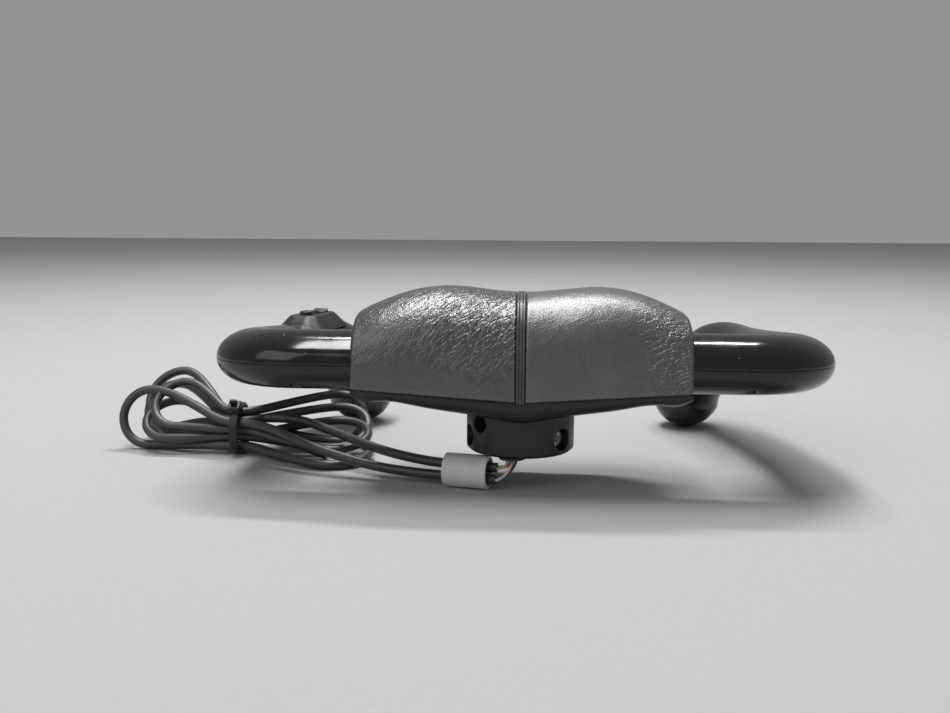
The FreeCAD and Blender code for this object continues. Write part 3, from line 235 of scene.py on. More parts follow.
class Finish:
    """A procedural finish on Object coordinates."""

    def __init__(self, name, **fixed):
        self.material = bpy.data.materials.new(name)
        self.material.use_nodes = True
        self.tree = self.material.node_tree
        self.shader = self.tree.nodes["Principled BSDF"]
        self.place = self.node("ShaderNodeTexCoord").outputs["Object"]
        self.height = None
        for socket, value in fixed.items():
            self.feed(socket.replace("_", " "), value)

    def node(self, kind, settings=None, values=None):
        made = self.tree.nodes.new(kind)
        for key, value in (settings or {}).items():
            setattr(made, key, value)
        for key, value in (values or {}).items():
            self.connect(made.inputs[key], value)
        return made

    def connect(self, socket, value):
        if isinstance(value, Level):
            value = value.socket
        if isinstance(value, bpy.types.NodeSocket):
            self.tree.links.new(value, socket)
        else:
            socket.default_value = value

    def feed(self, socket, value):
        self.connect(self.shader.inputs[socket], value)

    def mapped(self, stretch, turn=(0, 0, 0), start=None):
        """Coordinates on which a pattern is drawn out by a factor along each of the turned axes."""
        turn = [math.radians(angle) for angle in turn]
        values = {"Vector": start or self.place, "Scale": stretch, "Rotation": turn}
        return self.node("ShaderNodeMapping", {"vector_type": "TEXTURE"}, values).outputs[0]

    def cloud(self, pitch, detail=2.0, roughness=0.5, vector=None, distortion=0.0):
        """Noise whose features are about a pitch apart, in millimetres."""
        values = {"Scale": 1 / (pitch * MM), "Detail": detail, "Roughness": roughness,
                  "Distortion": distortion, "Vector": vector or self.place}
        return Level(self, self.node("ShaderNodeTexNoise", values=values).outputs[0])

    def cells(self, pitch, feature="DISTANCE_TO_EDGE", vector=None):
        """Cells about a pitch across, in millimetres."""
        values = {"Scale": 1 / (pitch * MM), "Vector": vector or self.place}
        made = self.node("ShaderNodeTexVoronoi", {"feature": feature}, values)
        return Level(self, made.outputs["Distance"])

    def axis(self, name, start):
        return Level(self, self.node("ShaderNodeSeparateXYZ", values={0: start}).outputs[name])

    def tint(self, mask, first, second):
        """The first colour where the mask is 0 and the second where it is 1."""
        first, second = ((*colour, 1.0) if isinstance(colour, tuple) else colour for colour in (first, second))
        return self.node("ShaderNodeMix", {"data_type": "RGBA"}, {0: mask, 6: first, 7: second}).outputs[2]

    def relief(self, height, depth, strength=1.0):
        """Adds relief of a depth in millimetres to the surface."""
        values = {"Height": height, "Distance": depth * MM, "Strength": strength}
        if self.height:
            values["Normal"] = self.height
        self.height = self.node("ShaderNodeBump", values=values).outputs[0]
        self.connect(self.shader.inputs["Normal"], self.height)


def colour_of(name, factor=1.0):
    return tuple(min(1.0, value * factor) for value in getattr(wheel().colours, name))


# How far the pebbles of the leather wander from round cells, in metres, and how often they do so in a metre
WANDER = 0.0004
WANDER_SCALE = 900.0


def pad_leather(name, tone, roughness, creases):
    """Leather-like skin: pebbles and fine pores, with creases whose place on the sheet the caller gives. Its colour
    holds painted shade in the grooves between the pebbles and painted sheen on their tops.
    """
    made = Finish(name, Specular_IOR_Level=1.0, IOR=1.62)
    sheet = made.node("ShaderNodeUVMap", {"uv_map": SHEET}).outputs[0]
    drift = made.cloud(24, detail=3.0)
    wander = made.node("ShaderNodeTexNoise", values={"Scale": WANDER_SCALE, "Detail": 2.0, "Vector": made.place})
    shaken = made.node("ShaderNodeMixRGB", {"blend_type": "ADD"}, {0: WANDER, 1: made.place, 2: wander.outputs[1]})
    raised = made.cells(1.3, vector=shaken.outputs[0]).between(0.02, 0.34)
    pores = made.cloud(0.55, detail=2.0)
    worn = drift.between(0.45, 0.75)
    groove, amount = creases(made, made.axis("X", sheet), made.axis("Y", sheet), sheet)
    folded = 1 - amount * (1 - groove)
    # Painted shade and sheen: the skin is darker in the grooves between the pebbles and lighter on their tops; the
    # drifting patches (worn) are wear, and the tone scales the whole colour
    made.feed("Base Color", made.tint(raised * 0.5 + worn * 0.4, colour_of("skin", 0.75 * tone),
                                      colour_of("skin", 1.3 * tone)))
    made.feed("Roughness", roughness - raised * 0.06 + pores * 0.08 - worn * 0.03)
    made.relief(folded, depth=0.34)
    made.relief(raised, depth=0.055, strength=0.9)
    made.relief(pores, depth=0.012, strength=0.6)
    return made.material


def slanting_creases(made, across, height, sheet):
    """Long creases that slant up to the seam of the left pad and die out towards the horn."""
    fold = made.cloud(2.5, detail=1.5, vector=made.mapped((4.0, 1, 1), (0, 0, 47), sheet), distortion=0.5)
    cross = made.cloud(3.4, detail=2.0, vector=made.mapped((1, 2.2, 1), (0, 0, 20), sheet), distortion=0.4)
    groove = (fold - 0.5).size().between(0.0, 0.12) * (0.55 + (cross - 0.5).size().between(0.0, 0.08) * 0.45)
    amount = across.between(-0.066, -0.022, first=0.22) * height.between(0.006, 0.03, first=0.15)
    return groove, amount


def end_pits(made, across, height, sheet):
    """Coarse pits and short folds at the outer end of the right pad."""
    fold = made.cloud(2.9, detail=2.0, vector=made.mapped((2.2, 1, 1), (0, 0, 22), sheet), distortion=0.6)
    groove = (fold - 0.5).size().between(0.0, 0.14)
    amount = across.between(0.052, 0.078, first=0.12) * height.between(0.0, 0.07, first=1.0, last=0.6)
    return groove, amount


# Each pad's side of the column, tone, roughness and creases. The right pad's tone of 1.9 is painted light: the same
# skin made lighter to stand in for the broad highlight on that pad.
SKINS = {"left": (-1, 1.0, 0.30, slanting_creases), "right": (1, 1.9, 0.36, end_pits)}


def horn_gloss():
    """Polished black plastic with fine scratches, handling haze and a few pale flecks."""
    made = Finish("horn_gloss", Specular_IOR_Level=0.5)
    haze = made.cloud(30, detail=4.0).between(0.4, 0.75)
    along = made.cloud(0.7, detail=1.0, vector=made.mapped((22, 1, 1), (0, 14, 8)))
    across = made.cloud(0.9, detail=1.0, vector=made.mapped((1, 1, 14), (0, -28, 0)))
    hairline = (along - 0.5).size().between(0.006, 0.0)
    nick = (across - 0.5).size().between(0.006, 0.0)
    patch = made.cloud(14, detail=2.0).between(0.58, 0.72)
    scratch = (hairline * patch + nick * made.cloud(19, detail=2.0).between(0.64, 0.74)).between(0.0, 0.9)
    fleck = made.cells(7.0, feature="F1").between(0.075, 0.03) * made.cloud(11, detail=1.0).between(0.52, 0.62)
    made.feed("Base Color", made.tint(scratch * 0.5 + fleck, colour_of("horn"), PALE_FLECK))
    made.feed("Roughness", 0.11 + haze * 0.10 + scratch * 0.22 + fleck * 0.3)
    made.relief(scratch, depth=-0.012, strength=0.7)
    made.relief(made.cloud(9, detail=1.0), depth=0.05, strength=0.25)
    return made.material


def satin_moulding(name, base, roughness, texture):
    """Moulded plastic with a very fine spark texture and faint handling marks."""
    made = Finish(name, Specular_IOR_Level=0.5)
    spark = made.cloud(texture, detail=3.0, roughness=0.6)
    smear = made.cloud(18, detail=3.0).between(0.42, 0.72)
    made.feed("Base Color", made.tint(smear, base, tuple(value * 1.5 for value in base)))
    made.feed("Roughness", roughness + smear * 0.12 + spark * 0.05)
    made.relief(spark, depth=0.012, strength=0.6)
    return made.material


def moulded(name):
    return satin_moulding(name, *MOULDED[name])


def painted_metal():
    """Satin black paint on the hub: orange peel, dust and thin wear."""
    made = Finish("hub_paint", Specular_IOR_Level=0.5)
    peel = made.cloud(1.1, detail=2.0)
    dust = made.cloud(3.0, detail=5.0, roughness=0.65).between(0.55, 0.8)
    worn = made.cloud(6.0, detail=4.0).between(0.68, 0.74)
    base = made.tint(dust * 0.6, colour_of("moulding", 0.9), colour_of("moulding", 2.2))
    made.feed("Base Color", made.tint(worn * 0.35, base, WORN_PAINT))
    made.feed("Roughness", 0.36 + dust * 0.2 + peel * 0.06)
    made.relief(peel, depth=0.02, strength=0.5)
    return made.material


def bare_metal(name):
    """Bright or blackened metal with turning marks and a little tarnish."""
    base, roughness, pitch = METALS[name]
    made = Finish(name, Metallic=1.0)
    marks = made.cloud(pitch, detail=3.0, vector=made.mapped((1, 1, 6.7)))
    tarnish = made.cloud(4.0, detail=3.0).between(0.4, 0.8)
    made.feed("Base Color", made.tint(tarnish, base, tuple(value * 0.72 for value in base)))
    made.feed("Roughness", roughness + marks * 0.12 + tarnish * 0.08)
    made.relief(marks, depth=0.01, strength=0.5)
    return made.material


def rubber(name, base, roughness):
    """Dull rubber or sheathing with a pale bloom."""
    made = Finish(name, Specular_IOR_Level=0.45)
    bloom = made.cloud(5.0, detail=4.0).between(0.45, 0.75)
    fine = made.cloud(0.6, detail=2.0)
    made.feed("Base Color", made.tint(bloom, base, tuple(value * 2.0 for value in base)))
    made.feed("Roughness", roughness + bloom * 0.1 + fine * 0.06)
    made.relief(fine, depth=0.02, strength=0.6)
    return made.material


def cable_jacket():
    """Black extruded jacket: faint dust, scuffs and slight waves from the bundle inside."""
    made = Finish("cable_jacket", Specular_IOR_Level=0.7)
    dust = made.cloud(7.0, detail=5.0, roughness=0.6).between(0.5, 0.85)
    fine = made.cloud(0.45, detail=2.0)
    scuff = made.cloud(2.2, detail=3.0, vector=made.mapped((2.5, 2.5, 1))).between(0.66, 0.74)
    base = made.tint(dust * 0.6, JACKET, JACKET_DUST)
    made.feed("Base Color", made.tint(scuff * 0.3, base, JACKET_SCUFF))
    made.feed("Roughness", 0.40 + dust * 0.16 + fine * 0.06)
    made.relief(made.cloud(3.5, detail=1.0), depth=0.12, strength=0.35)
    made.relief(fine, depth=0.012, strength=0.5)
    return made.material


def white_sleeve():
    """Milky plastic, a little grey with handling."""
    made = Finish("white_sleeve", Subsurface_Weight=0.12, Subsurface_Scale=0.004, Specular_IOR_Level=0.5)
    grime = made.cloud(9.0, detail=5.0, roughness=0.6).between(0.48, 0.8)
    fine = made.cloud(0.8, detail=3.0)
    made.feed("Base Color", made.tint(grime * 0.5, colour_of("sleeve"), colour_of("sleeve", 0.8)))
    made.feed("Roughness", 0.42 + grime * 0.15 + fine * 0.05)
    made.relief(fine, depth=0.015, strength=0.5)
    return made.material


def wire_coat(name, base):
    """Coloured insulation, slightly soiled."""
    made = Finish(name, Specular_IOR_Level=0.5)
    dirt = made.cloud(2.5, detail=3.0).between(0.45, 0.8)
    made.feed("Base Color", made.tint(dirt * 0.6, base, tuple(value * 0.6 for value in base)))
    made.feed("Roughness", 0.36 + dirt * 0.15)
    made.relief(made.cloud(0.4, detail=2.0), depth=0.01, strength=0.5)
    return made.material


# Making pieces

def keep_piece(name, mesh, finish, body=WHEEL_BODY):
    """A finished piece at the origin, riding on its body, with one finish."""
    piece = bpy.data.objects.new(name, mesh)
    bpy.context.scene.collection.objects.link(piece)
    if finish:
        mesh.materials.append(finish)
    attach(piece, body)
    return piece


def mesh_from(name, form, sharp):
    """A smooth mesh from a bmesh, with edges sharper than an angle kept crisp."""
    for face in form.faces:
        face.smooth = True
    for edge in form.edges:
        if len(edge.link_faces) == 2 and edge.calc_face_angle(0) > math.radians(sharp):
            edge.smooth = False
    mesh = bpy.data.meshes.new(name)
    form.to_mesh(mesh)
    form.free()
    return mesh


# The cover falls away to its ends by this power, and even spacing is measured on the section at this place, in
# this many steps. A corner of a sheet is known again by its coordinates to this many digits.
END_FALL = 1.8
SECTION_PLACE = 0.03
SECTION_STEPS = 3000
SAME_PLACE = 7


def blend_value(first, second, share):
    return first + (second - first) * share


def ease(share):
    return share * share * (3 - 2 * share)


def along_cover(x, sizes):
    """A size of the cover at x, from the centre over the shoulder to the end."""
    cover = wheel().cover
    centre, shoulder, end = sizes
    reach = abs(x)
    if reach <= cover.shoulder:
        return blend_value(centre, shoulder, ease(reach / cover.shoulder))
    share = min(1.0, (reach - cover.shoulder) / (cover.span - cover.shoulder))
    return blend_value(shoulder, end, share ** END_FALL)


def cover_point(x, angle, inset):
    """A point of the cover's section at x: from the back over the top to the front as the angle grows."""
    cover = wheel().cover
    front, back = -along_cover(x, cover.front), along_cover(x, cover.back)
    base = blend_value(*cover.low, abs(x) / cover.span)
    half = (back - front) / 2 - inset
    rise = along_cover(x, cover.top) - base - inset
    across = math.copysign(abs(math.cos(angle)) ** (2 / cover.fullness), math.cos(angle))
    up = abs(math.sin(angle)) ** (2 / cover.fullness)
    return Vector((x, (front + back) / 2 + half * across, base + rise * up))


def even_angles(count):
    """Angles that stand evenly along the section, and its length."""
    fine = SECTION_STEPS
    marks = [0.0]
    last = cover_point(SECTION_PLACE, 0.0, 0.0)
    for step in range(1, fine + 1):
        here = cover_point(SECTION_PLACE, math.pi * step / fine, 0.0)
        marks.append(marks[-1] + (here - last).length)
        last = here
    angles = []
    at = 0
    for number in range(count):
        want = marks[-1] * number / (count - 1)
        while at < fine and marks[at + 1] < want:
            at += 1
        span = marks[at + 1] - marks[at] if at < fine else 1.0
        share = (want - marks[at]) / span
        angles.append(math.pi * min(fine, at + share) / fine)
    return angles, marks[-1]


def rolled(distance, radius):
    """How far a rounded edge falls away at a distance from it."""
    if distance >= radius:
        return 0.0
    return radius - math.sqrt(max(0.0, radius ** 2 - (radius - distance) ** 2))


def cover_sheet(low_x, high_x, columns, rows, relief, thickness):
    """A closed sheet over the cover between two places: a grid, laid on the sections and given its thickness."""
    angles, length = even_angles(rows + 1)
    form = bmesh.new()
    bmesh.ops.create_grid(form, x_segments=columns, y_segments=rows, size=1.0)
    places = {}
    for corner in form.verts:
        x = low_x + (high_x - low_x) * (corner.co.x + 1) / 2
        row = round((corner.co.y + 1) / 2 * rows)
        gone = length * row / rows
        corner.co = cover_point(x, angles[row], relief(x, gone, length - gone))
        places[corner.co.to_tuple(SAME_PLACE)] = (x, row)
    outer = set(form.verts)
    bmesh.ops.extrude_face_region(form, geom=list(form.faces))
    spots = {corner: places[corner.co.to_tuple(SAME_PLACE)] for corner in form.verts}
    for corner in set(form.verts) - outer:
        x, row = spots[corner]
        corner.co = cover_point(x, angles[row], thickness)
    bmesh.ops.recalc_face_normals(form, faces=form.faces)
    sheet = form.loops.layers.uv.new(SHEET)
    for face in form.faces:
        for loop in face.loops:
            x, row = spots[loop.vert]
            loop[sheet].uv = (x, length * (1 - row / rows))
    return form


# Folds of the pads: angle in degrees and pitch in metres
FINE_FOLDS = (48, 0.0021)
SLANTING_FOLDS = (40, 0.0036)
END_FOLDS = (-25, 0.0026)
# A fold is this much longer than its pitch, wanders this often and this far, and is this narrow
FOLD_LENGTH = 3.2
BEND_RATE = 0.6
BEND_REACH = 0.9
BEND_LEAN = 0.3
FOLD_NARROWNESS = 3.2
# Where the folds lie, in metres: their reach from the seam and from the outer end, and the height and the
# width of the band that holds most of them
SEAM_REACH = 0.05
END_REACH = 0.026
BAND_HEIGHT = 0.036
BAND_WIDTH = 0.026
# How strong the folds of each pad are away from that place and at it, how much of them are the pad's own folds and
# not the fine ones, and how much of the crease depth they get
LEFT_STRENGTH = (0.25, 1.0)
LEFT_OWN = 0.6
RIGHT_STRENGTH = (0.12, 0.67)
RIGHT_OWN = 0.7
FOLD_SHARE = 0.8
# Lumps of the foam: which slice of the noise, how many in a metre, and their height in metres
LUMPS = ((0.3, 55, 0.00035), (0.7, 190, 0.00012))
# Folds and lumps die out over this distance from an edge, in metres
QUIET_EDGE = 0.003


def fold_height(x, height, folds):
    """Long soft folds that run at an angle over the front of a pad, from 0 to 1."""
    turn, pitch = math.radians(folds[0]), folds[1]
    across = x * math.cos(turn) + height * math.sin(turn)
    along = -x * math.sin(turn) + height * math.cos(turn)
    spot = Vector((across / pitch, along / (pitch * FOLD_LENGTH), 0))
    bend = noise.noise(spot * BEND_RATE) * BEND_REACH
    crest = 1 - abs(noise.noise(spot + Vector((bend, BEND_LEAN * bend, 0)))) * FOLD_NARROWNESS
    return max(0.0, crest) ** 2


def pad_relief(side):
    """The relief of a pad: rolled edges, and the lumps and folds of its skin."""
    cover = wheel().cover
    seam = wheel().trim.width / 2

    def relief(x, from_back, from_front):
        reach = abs(x)
        inset = rolled(reach - seam, cover.seam_roll) + rolled(cover.span - reach, cover.end_roll)
        inset += rolled(min(from_back, from_front), cover.low_roll)
        fine = fold_height(x, from_front, FINE_FOLDS)
        if side < 0:
            # Dense and slanting by the seam of the left pad
            near_seam = max(0.0, 1 - (reach - seam) / SEAM_REACH)
            band = math.exp(-((from_front - BAND_HEIGHT) / BAND_WIDTH) ** 2)
            amount = blend_value(*LEFT_STRENGTH, near_seam) * band
            folds = blend_value(fine, fold_height(x, from_front, SLANTING_FOLDS), LEFT_OWN)
        else:
            # Short and coarse at the right pad's outer end
            outer = max(0.0, 1 - (cover.span - reach) / END_REACH)
            amount = blend_value(*RIGHT_STRENGTH, outer)
            folds = blend_value(fine, fold_height(x, from_front, END_FOLDS), RIGHT_OWN)
        lump = sum(noise.noise(Vector((x, from_front, part)) * rate) * rise for part, rate, rise in LUMPS)
        edge = min(reach - seam, cover.span - reach, from_back, from_front)
        return inset + (cover.crease * amount * folds * FOLD_SHARE + lump) * min(1.0, max(0.0, edge / QUIET_EDGE))

    return relief


# The camera: place in millimetres, turns in degrees in the order in which they are made, lens and sensor in
# millimetres, and the nearest that it sees, in metres
CAMERA_PLACE = (3.481, -532.088, 128.862)
CAMERA_TURNS = ((3.046, "Z"), (81.5, "X"), (0.292, "Z"))
LENS = 37.895
SENSOR = 36
NEAREST = 0.01
# Lamps: place and size in metres, and power in watts
LAMPS = {
    "ceiling_strip": ((0.08, 0.92, 1.8), (1.15, 0.13), 26.0),
    "left_softbox": ((-1.5, -1.7, 1.5), (1.7, 1.7), 12.0),
    "overhead_softbox": ((-0.38, 0.05, 2.1), (1.4, 0.42), 31.0),
}
LAMP_TARGET = (0, 0, 0.03)
# The light from all round, and half the floor's side in metres
WORLD_COLOUR = (0.97, 0.98, 1.0, 1)
WORLD_LEVEL = 0.30
FLOOR_REACH = 4.0


class WHEEL_OT_stage(bpy.types.Operator):
    """Sets the camera, the pale floor and the soft light"""

    bl_idname = "wheel.stage"
    bl_label = "Stage"

    def execute(self, context):
        scene = context.scene
        eye = bpy.data.cameras.new("camera")
        eye.lens = LENS
        eye.sensor_width = SENSOR
        eye.clip_start = NEAREST
        camera = bpy.data.objects.new("camera", eye)
        view = Matrix.Translation(Vector(CAMERA_PLACE) * MM)
        for turn, axis in CAMERA_TURNS:
            view = view @ Matrix.Rotation(math.radians(turn), 4, axis)
        camera.matrix_world = view
        scene.collection.objects.link(camera)
        scene.camera = camera
        scene.view_settings.view_transform = "Standard"

        form = bmesh.new()
        bmesh.ops.create_grid(form, x_segments=1, y_segments=1, size=FLOOR_REACH)
        bmesh.ops.translate(form, verts=form.verts, vec=(0, 0, CAD_BOX[0].z))
        ground = bpy.data.meshes.new("floor")
        form.to_mesh(ground)
        form.free()
        floor = bpy.data.objects.new("floor", ground)
        scene.collection.objects.link(floor)
        made = Finish("floor_paper", Specular_IOR_Level=0.2)
        tone = made.cloud(3.0, detail=4.0)
        made.feed("Base Color", made.tint(tone, colour_of("floor", 0.97), colour_of("floor", 1.03)))
        made.feed("Roughness", 0.8 + tone * 0.1)
        ground.materials.append(made.material)

        for name, (place, size, power) in LAMPS.items():
            self.lamp(scene, name, place, size, power)
        world = bpy.data.worlds.new("studio")
        world.use_nodes = True
        background = world.node_tree.nodes["Background"]
        background.inputs["Color"].default_value = WORLD_COLOUR
        background.inputs["Strength"].default_value = WORLD_LEVEL
        scene.world = world
        return {"FINISHED"}

    def lamp(self, scene, name, place, size, power):
        light = bpy.data.lights.new(name, "AREA")
        light.shape = "RECTANGLE"
        light.size, light.size_y = size
        light.energy = power
        holder = bpy.data.objects.new(name, light)
        holder.location = place
        holder.rotation_euler = (Vector(LAMP_TARGET) - Vector(place)).to_track_quat("-Z", "Y").to_euler()
        scene.collection.objects.link(holder)


# Cables: routes in millimetres, through the same points as the solids

def blend(first, second, share):
    return tuple(blend_value(a, b, share) for a, b in zip(first, second))


def in_sleeve(ahead, side, up):
    """A point of the sleeve's own frame: along its axis, across it and up."""
    along = (math.cos(SLEEVE_TURN), math.sin(SLEEVE_TURN))
    return (SLEEVE_CENTRE[0] + along[0] * ahead - along[1] * side,
            SLEEVE_CENTRE[1] + along[1] * ahead + along[0] * side,
            SLEEVE_CENTRE[2] + up)


def beside_tie(distance, strand):
    """A point at a distance to the right of the tie, on a strand given across and up from the tie."""
    return (TIE_CENTRE[0] + distance, TIE_CENTRE[1] + strand[0], TIE_CENTRE[2] + strand[1])


# The hank: how full its loops are, the angles of a loop's points, where a strand's points lie between the tie and
# the loop, how far a strand runs straight on each side of the tie, and how far it has fanned out at its first point
ROUNDNESS = 1.06
LOBE_ANGLES = (70, 35, 0, -35, -70)
STRAND_SHARES = (0.42, 0.85)
TIE_RUN = 8.0
FAN_SHARE = 0.55


def hank_lobe(side, reach, first, second):
    """Round the end of a lobe, from one strand to the other."""
    middle = blend(first, second, 0.5)
    radius = math.dist(first, second) / 2 * ROUNDNESS
    points = []
    for angle in LOBE_ANGLES:
        across = math.sin(math.radians(angle)) * ROUNDNESS
        strand = blend(middle, first, across) if across > 0 else blend(middle, second, -across)
        out = reach - radius + radius * math.cos(math.radians(angle))
        points.append(beside_tie(side * out, strand))
    return points


def hank_route(lead, slots, lobes, tail):
    """The lead, then turn after turn through the tie and round its lobes, and the loose end."""
    points = list(lead)
    way = -1
    for number, slot in enumerate(slots):
        points += [beside_tie(-way * TIE_RUN, slot), beside_tie(way * TIE_RUN, slot)]
        if number < len(lobes):
            reach, first, second = lobes[number]
            run = reach - math.dist(first, second) / 2 - TIE_RUN
            near, far = (TIE_RUN + run * share for share in STRAND_SHARES)
            points.append(beside_tie(way * near, blend(slot, first, FAN_SHARE)))
            points.append(beside_tie(way * far, first))
            points += hank_lobe(way, reach, first, second)
            points.append(beside_tie(way * far, second))
            points.append(beside_tie(way * near, blend(slots[number + 1], second, FAN_SHARE)))
        way = -way
    return points + list(tail)


# Leads from the sleeve to the tie, slots through the tie, lobes (reach and the two strands) and tails. The jackets
# lie across and up from the sleeve's axis, and pass these two places along it.
SLEEVE_ENDS = (16, -11)
TALK_SEAT = (-1.8, -3.2)
TRIM_SEAT = (1.6, 2.4)
TALK_LEAD = [*(in_sleeve(ahead, *TALK_SEAT) for ahead in SLEEVE_ENDS), (-57, -8, -13.5), (-79, -3, -12),
             (-101, 5, -8.5), (-123, 16, -4.5), (-144, 32, 0)]
TALK_SLOTS = [(-8.4, 4.9), (-5.6, -9.7), (8.4, -4.9), (-2.8, 4.9), (-2.8, -4.9), (0, 0)]
TALK_LOBES = [
    (76, (14, 20), (4, -12.6)),
    (82, (-37, -12.6), (6, -9)),
    (71, (28, -12.6), (46, 18)),
    (77, (28, 8), (-4, -10.5)),
    (60, (-7, -5.5), (20, 12)),
]
TALK_TAIL = [(-148, 50, -5), (-132, 42, -12), (-114, 38, -16.6)]
TRIM_LEAD = [*(in_sleeve(ahead, *TRIM_SEAT) for ahead in SLEEVE_ENDS), (-58, -1, -7.5), (-78, 9, -5.5),
             (-95, 25, -4), (-112, 40, -2), (-131, 50, 2), (-149, 54, 2)]
TRIM_SLOTS = [(2.8, 4.9), (2.8, -4.9), (-5.6, 0), (0, 9.7), (5.6, 0)]
TRIM_LOBES = [
    (66, (38, 28), (16, -6.5)),
    (79, (20, 1), (-20, -8)),
    (55, (-4, 1), (20, 24)),
    (72, (34, 15), (22, -12.6)),
]
TRIM_TAIL = [(-190, 64, -3), (-205, 75, -6), (-218, 74.5, -9.5)]

# Wires: colour, place in the outlet across and forward, start of the jacket that it goes into, and place across that
# jacket. Each starts at the mouth's height, drops, and comes to its jacket in line with it, with a little sag.
WIRES = {
    "cream_wire": ((0.62, 0.55, 0.38), (-2.4, -0.6), TRIM_LEAD[0], -1.2),
    "orange_wire": ((0.52, 0.12, 0.045), (-0.8, -1.6), TRIM_LEAD[0], 1.2),
    "pale_wire": ((0.66, 0.62, 0.5), (0.8, -0.6), TALK_LEAD[0], -1.2),
    "dark_wire": ((0.03, 0.026, 0.024), (2.4, -1.6), TALK_LEAD[0], 1.2),
}
WIRE_MOUTH = -1.2
WIRE_DROP = Vector((-0.6, -1.6, -3.6))
WIRE_APPROACH = 3.6
WIRE_SAG = Vector((0, -0.6, 0.8))
# A line's steps between two points, and how finely a jacket and a wire are rounded
LINE_STEPS = 8
JACKET_ROUNDING = 6
WIRE_ROUNDING = 3


def soft_line(name, points, diameter, finish, rounding):
    """A round cord as a NURBS curve whose control points are the route's points."""
    line = bpy.data.curves.new(name, "CURVE")
    line.dimensions = "3D"
    spline = line.splines.new("NURBS")
    spline.points.add(len(points) - 1)
    for knot, point in zip(spline.points, metres(points)):
        knot.co = (*point, 1)
    spline.order_u = 3
    spline.use_endpoint_u = True
    spline.resolution_u = LINE_STEPS
    line.bevel_depth = diameter / 2
    line.bevel_resolution = rounding
    line.use_fill_caps = True
    line.materials.append(finish)
    piece = bpy.data.objects.new(name, line)
    bpy.context.scene.collection.objects.link(piece)
    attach(piece, WHEEL_BODY)
    return piece


class WHEEL_OT_cables(bpy.types.Operator):
    """Lays the two cables in their hank, and the four bare wires from the grommet down to them"""

    bl_idname = "wheel.cables"
    bl_label = "Cables and wires"

    def execute(self, context):
        cable = wheel().cable
        jacket = cable_jacket()
        talk = soft_line("talk_cable", hank_route(TALK_LEAD, TALK_SLOTS, TALK_LOBES, TALK_TAIL),
                         cable.diameter, jacket, JACKET_ROUNDING)
        trim = soft_line("trim_cable", hank_route(TRIM_LEAD, TRIM_SLOTS, TRIM_LOBES, TRIM_TAIL),
                         cable.diameter, jacket, JACKET_ROUNDING)
        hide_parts("ptt_cable_lead")
        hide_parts("trim_cable_lead", "cable_hank")
        wires = self.wires(cable)
        return {"FINISHED"}

    def wires(self, cable):
        """Each wire drops from the grommet and turns back into its jacket."""
        along = Vector((math.cos(SLEEVE_TURN), math.sin(SLEEVE_TURN), 0))
        aside = Vector((-along.y, along.x, 0))
        made = {}
        for name, (colour, (across, forward), start, apart) in WIRES.items():
            top = Vector(WIRE_OUTLET) + Vector((across, forward, WIRE_MOUTH))
            end = Vector(start) + aside * apart
            route = [top, top + WIRE_DROP, end + along * WIRE_APPROACH + WIRE_SAG, end]
            piece = soft_line(name, route, cable.wire, wire_coat(name, colour), WIRE_ROUNDING)
            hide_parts("wire_tails")
            made[name] = piece
        return made


# Grids of the sheets, across and round the section, and how much of a pad is foam
PAD_GRID = (130, 230)
TRIM_GRID = (32, 150)
# The strip in metres: places and half width of its grooves, and radius of its edges
GROOVES = (-0.00085, 0.00085)
GROOVE_HALF = 0.00028
TRIM_EDGE = 0.0005


class WHEEL_OT_pads(bpy.types.Operator):
    """Makes the two padded halves of the cover, with rolled edges and wrinkled skin"""

    bl_idname = "wheel.pads"
    bl_label = "Pads"

    def execute(self, context):
        cover = wheel().cover
        seam = wheel().trim.width / 2
        for name, (side, tone, roughness, creases) in SKINS.items():
            # The right pad's skin is a lit copy of the left's: its higher tone paints its highlight into the base
            # colour
            skin = pad_leather(f"{name}_leather", tone, roughness, creases)
            ends = sorted((side * seam, side * cover.span))
            form = cover_sheet(*ends, *PAD_GRID, pad_relief(side), cover.thickness)
            mesh = mesh_from(f"pad_skin_{name}", form, sharp=60)
            piece = keep_piece(f"pad_skin_{name}", mesh, skin)
            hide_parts(f"pad_{name}")
        return {"FINISHED"}


class WHEEL_OT_trim(bpy.types.Operator):
    """Makes the strip between the pads, with its two fine grooves"""

    bl_idname = "wheel.trim"
    bl_label = "Trim strip"

    def execute(self, context):
        trim = wheel().trim
        half = trim.width / 2

        def relief(x, from_back, from_front):
            groove = sum(max(0.0, 1 - abs(x - place) / GROOVE_HALF) for place in GROOVES)
            edge = rolled(half - abs(x), TRIM_EDGE) + rolled(min(from_back, from_front), TRIM_EDGE)
            return edge + groove * trim.groove - trim.proud

        form = cover_sheet(-half, half, *TRIM_GRID, relief, wheel().cover.thickness)
        mesh = mesh_from("trim_band", form, sharp=40)
        piece = keep_piece("trim_band", mesh, moulded("trim_satin"))
        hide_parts("centre_trim")
        return {"FINISHED"}


# Solids whose edges are softened: radius in millimetres, least angle of an edge in degrees, distance from the
# column's plane at which softening starts, and body. The horns' roots lie hidden in the cover and stay sharp, and a
# clamp would take the radius off their parting lines, so only what is softened whole is clamped.
SOFTENED = {
    "horn_left_front_half": (0.3, 50, 85, WHEEL_BODY),
    "horn_left_rear_half": (0.3, 50, 85, WHEEL_BODY),
    "horn_right_front_half": (0.3, 50, 85, WHEEL_BODY),
    "horn_right_rear_half": (0.3, 50, 85, WHEEL_BODY),
    "column_hub": (0.35, 40, 0, WHEEL_BODY),
    "back_shell": (0.35, 40, 0, WHEEL_BODY),
    "switch_housing": (0.25, 40, 0, WHEEL_BODY),
    "trim_rocker": (0.35, 40, 0, ROCKER_BODY),
}
# Corners closer than this, in metres, become one, and so do faces that meet at less than this, in degrees
WELD = 2e-6
FLAT = 0.3
FORMS = {}


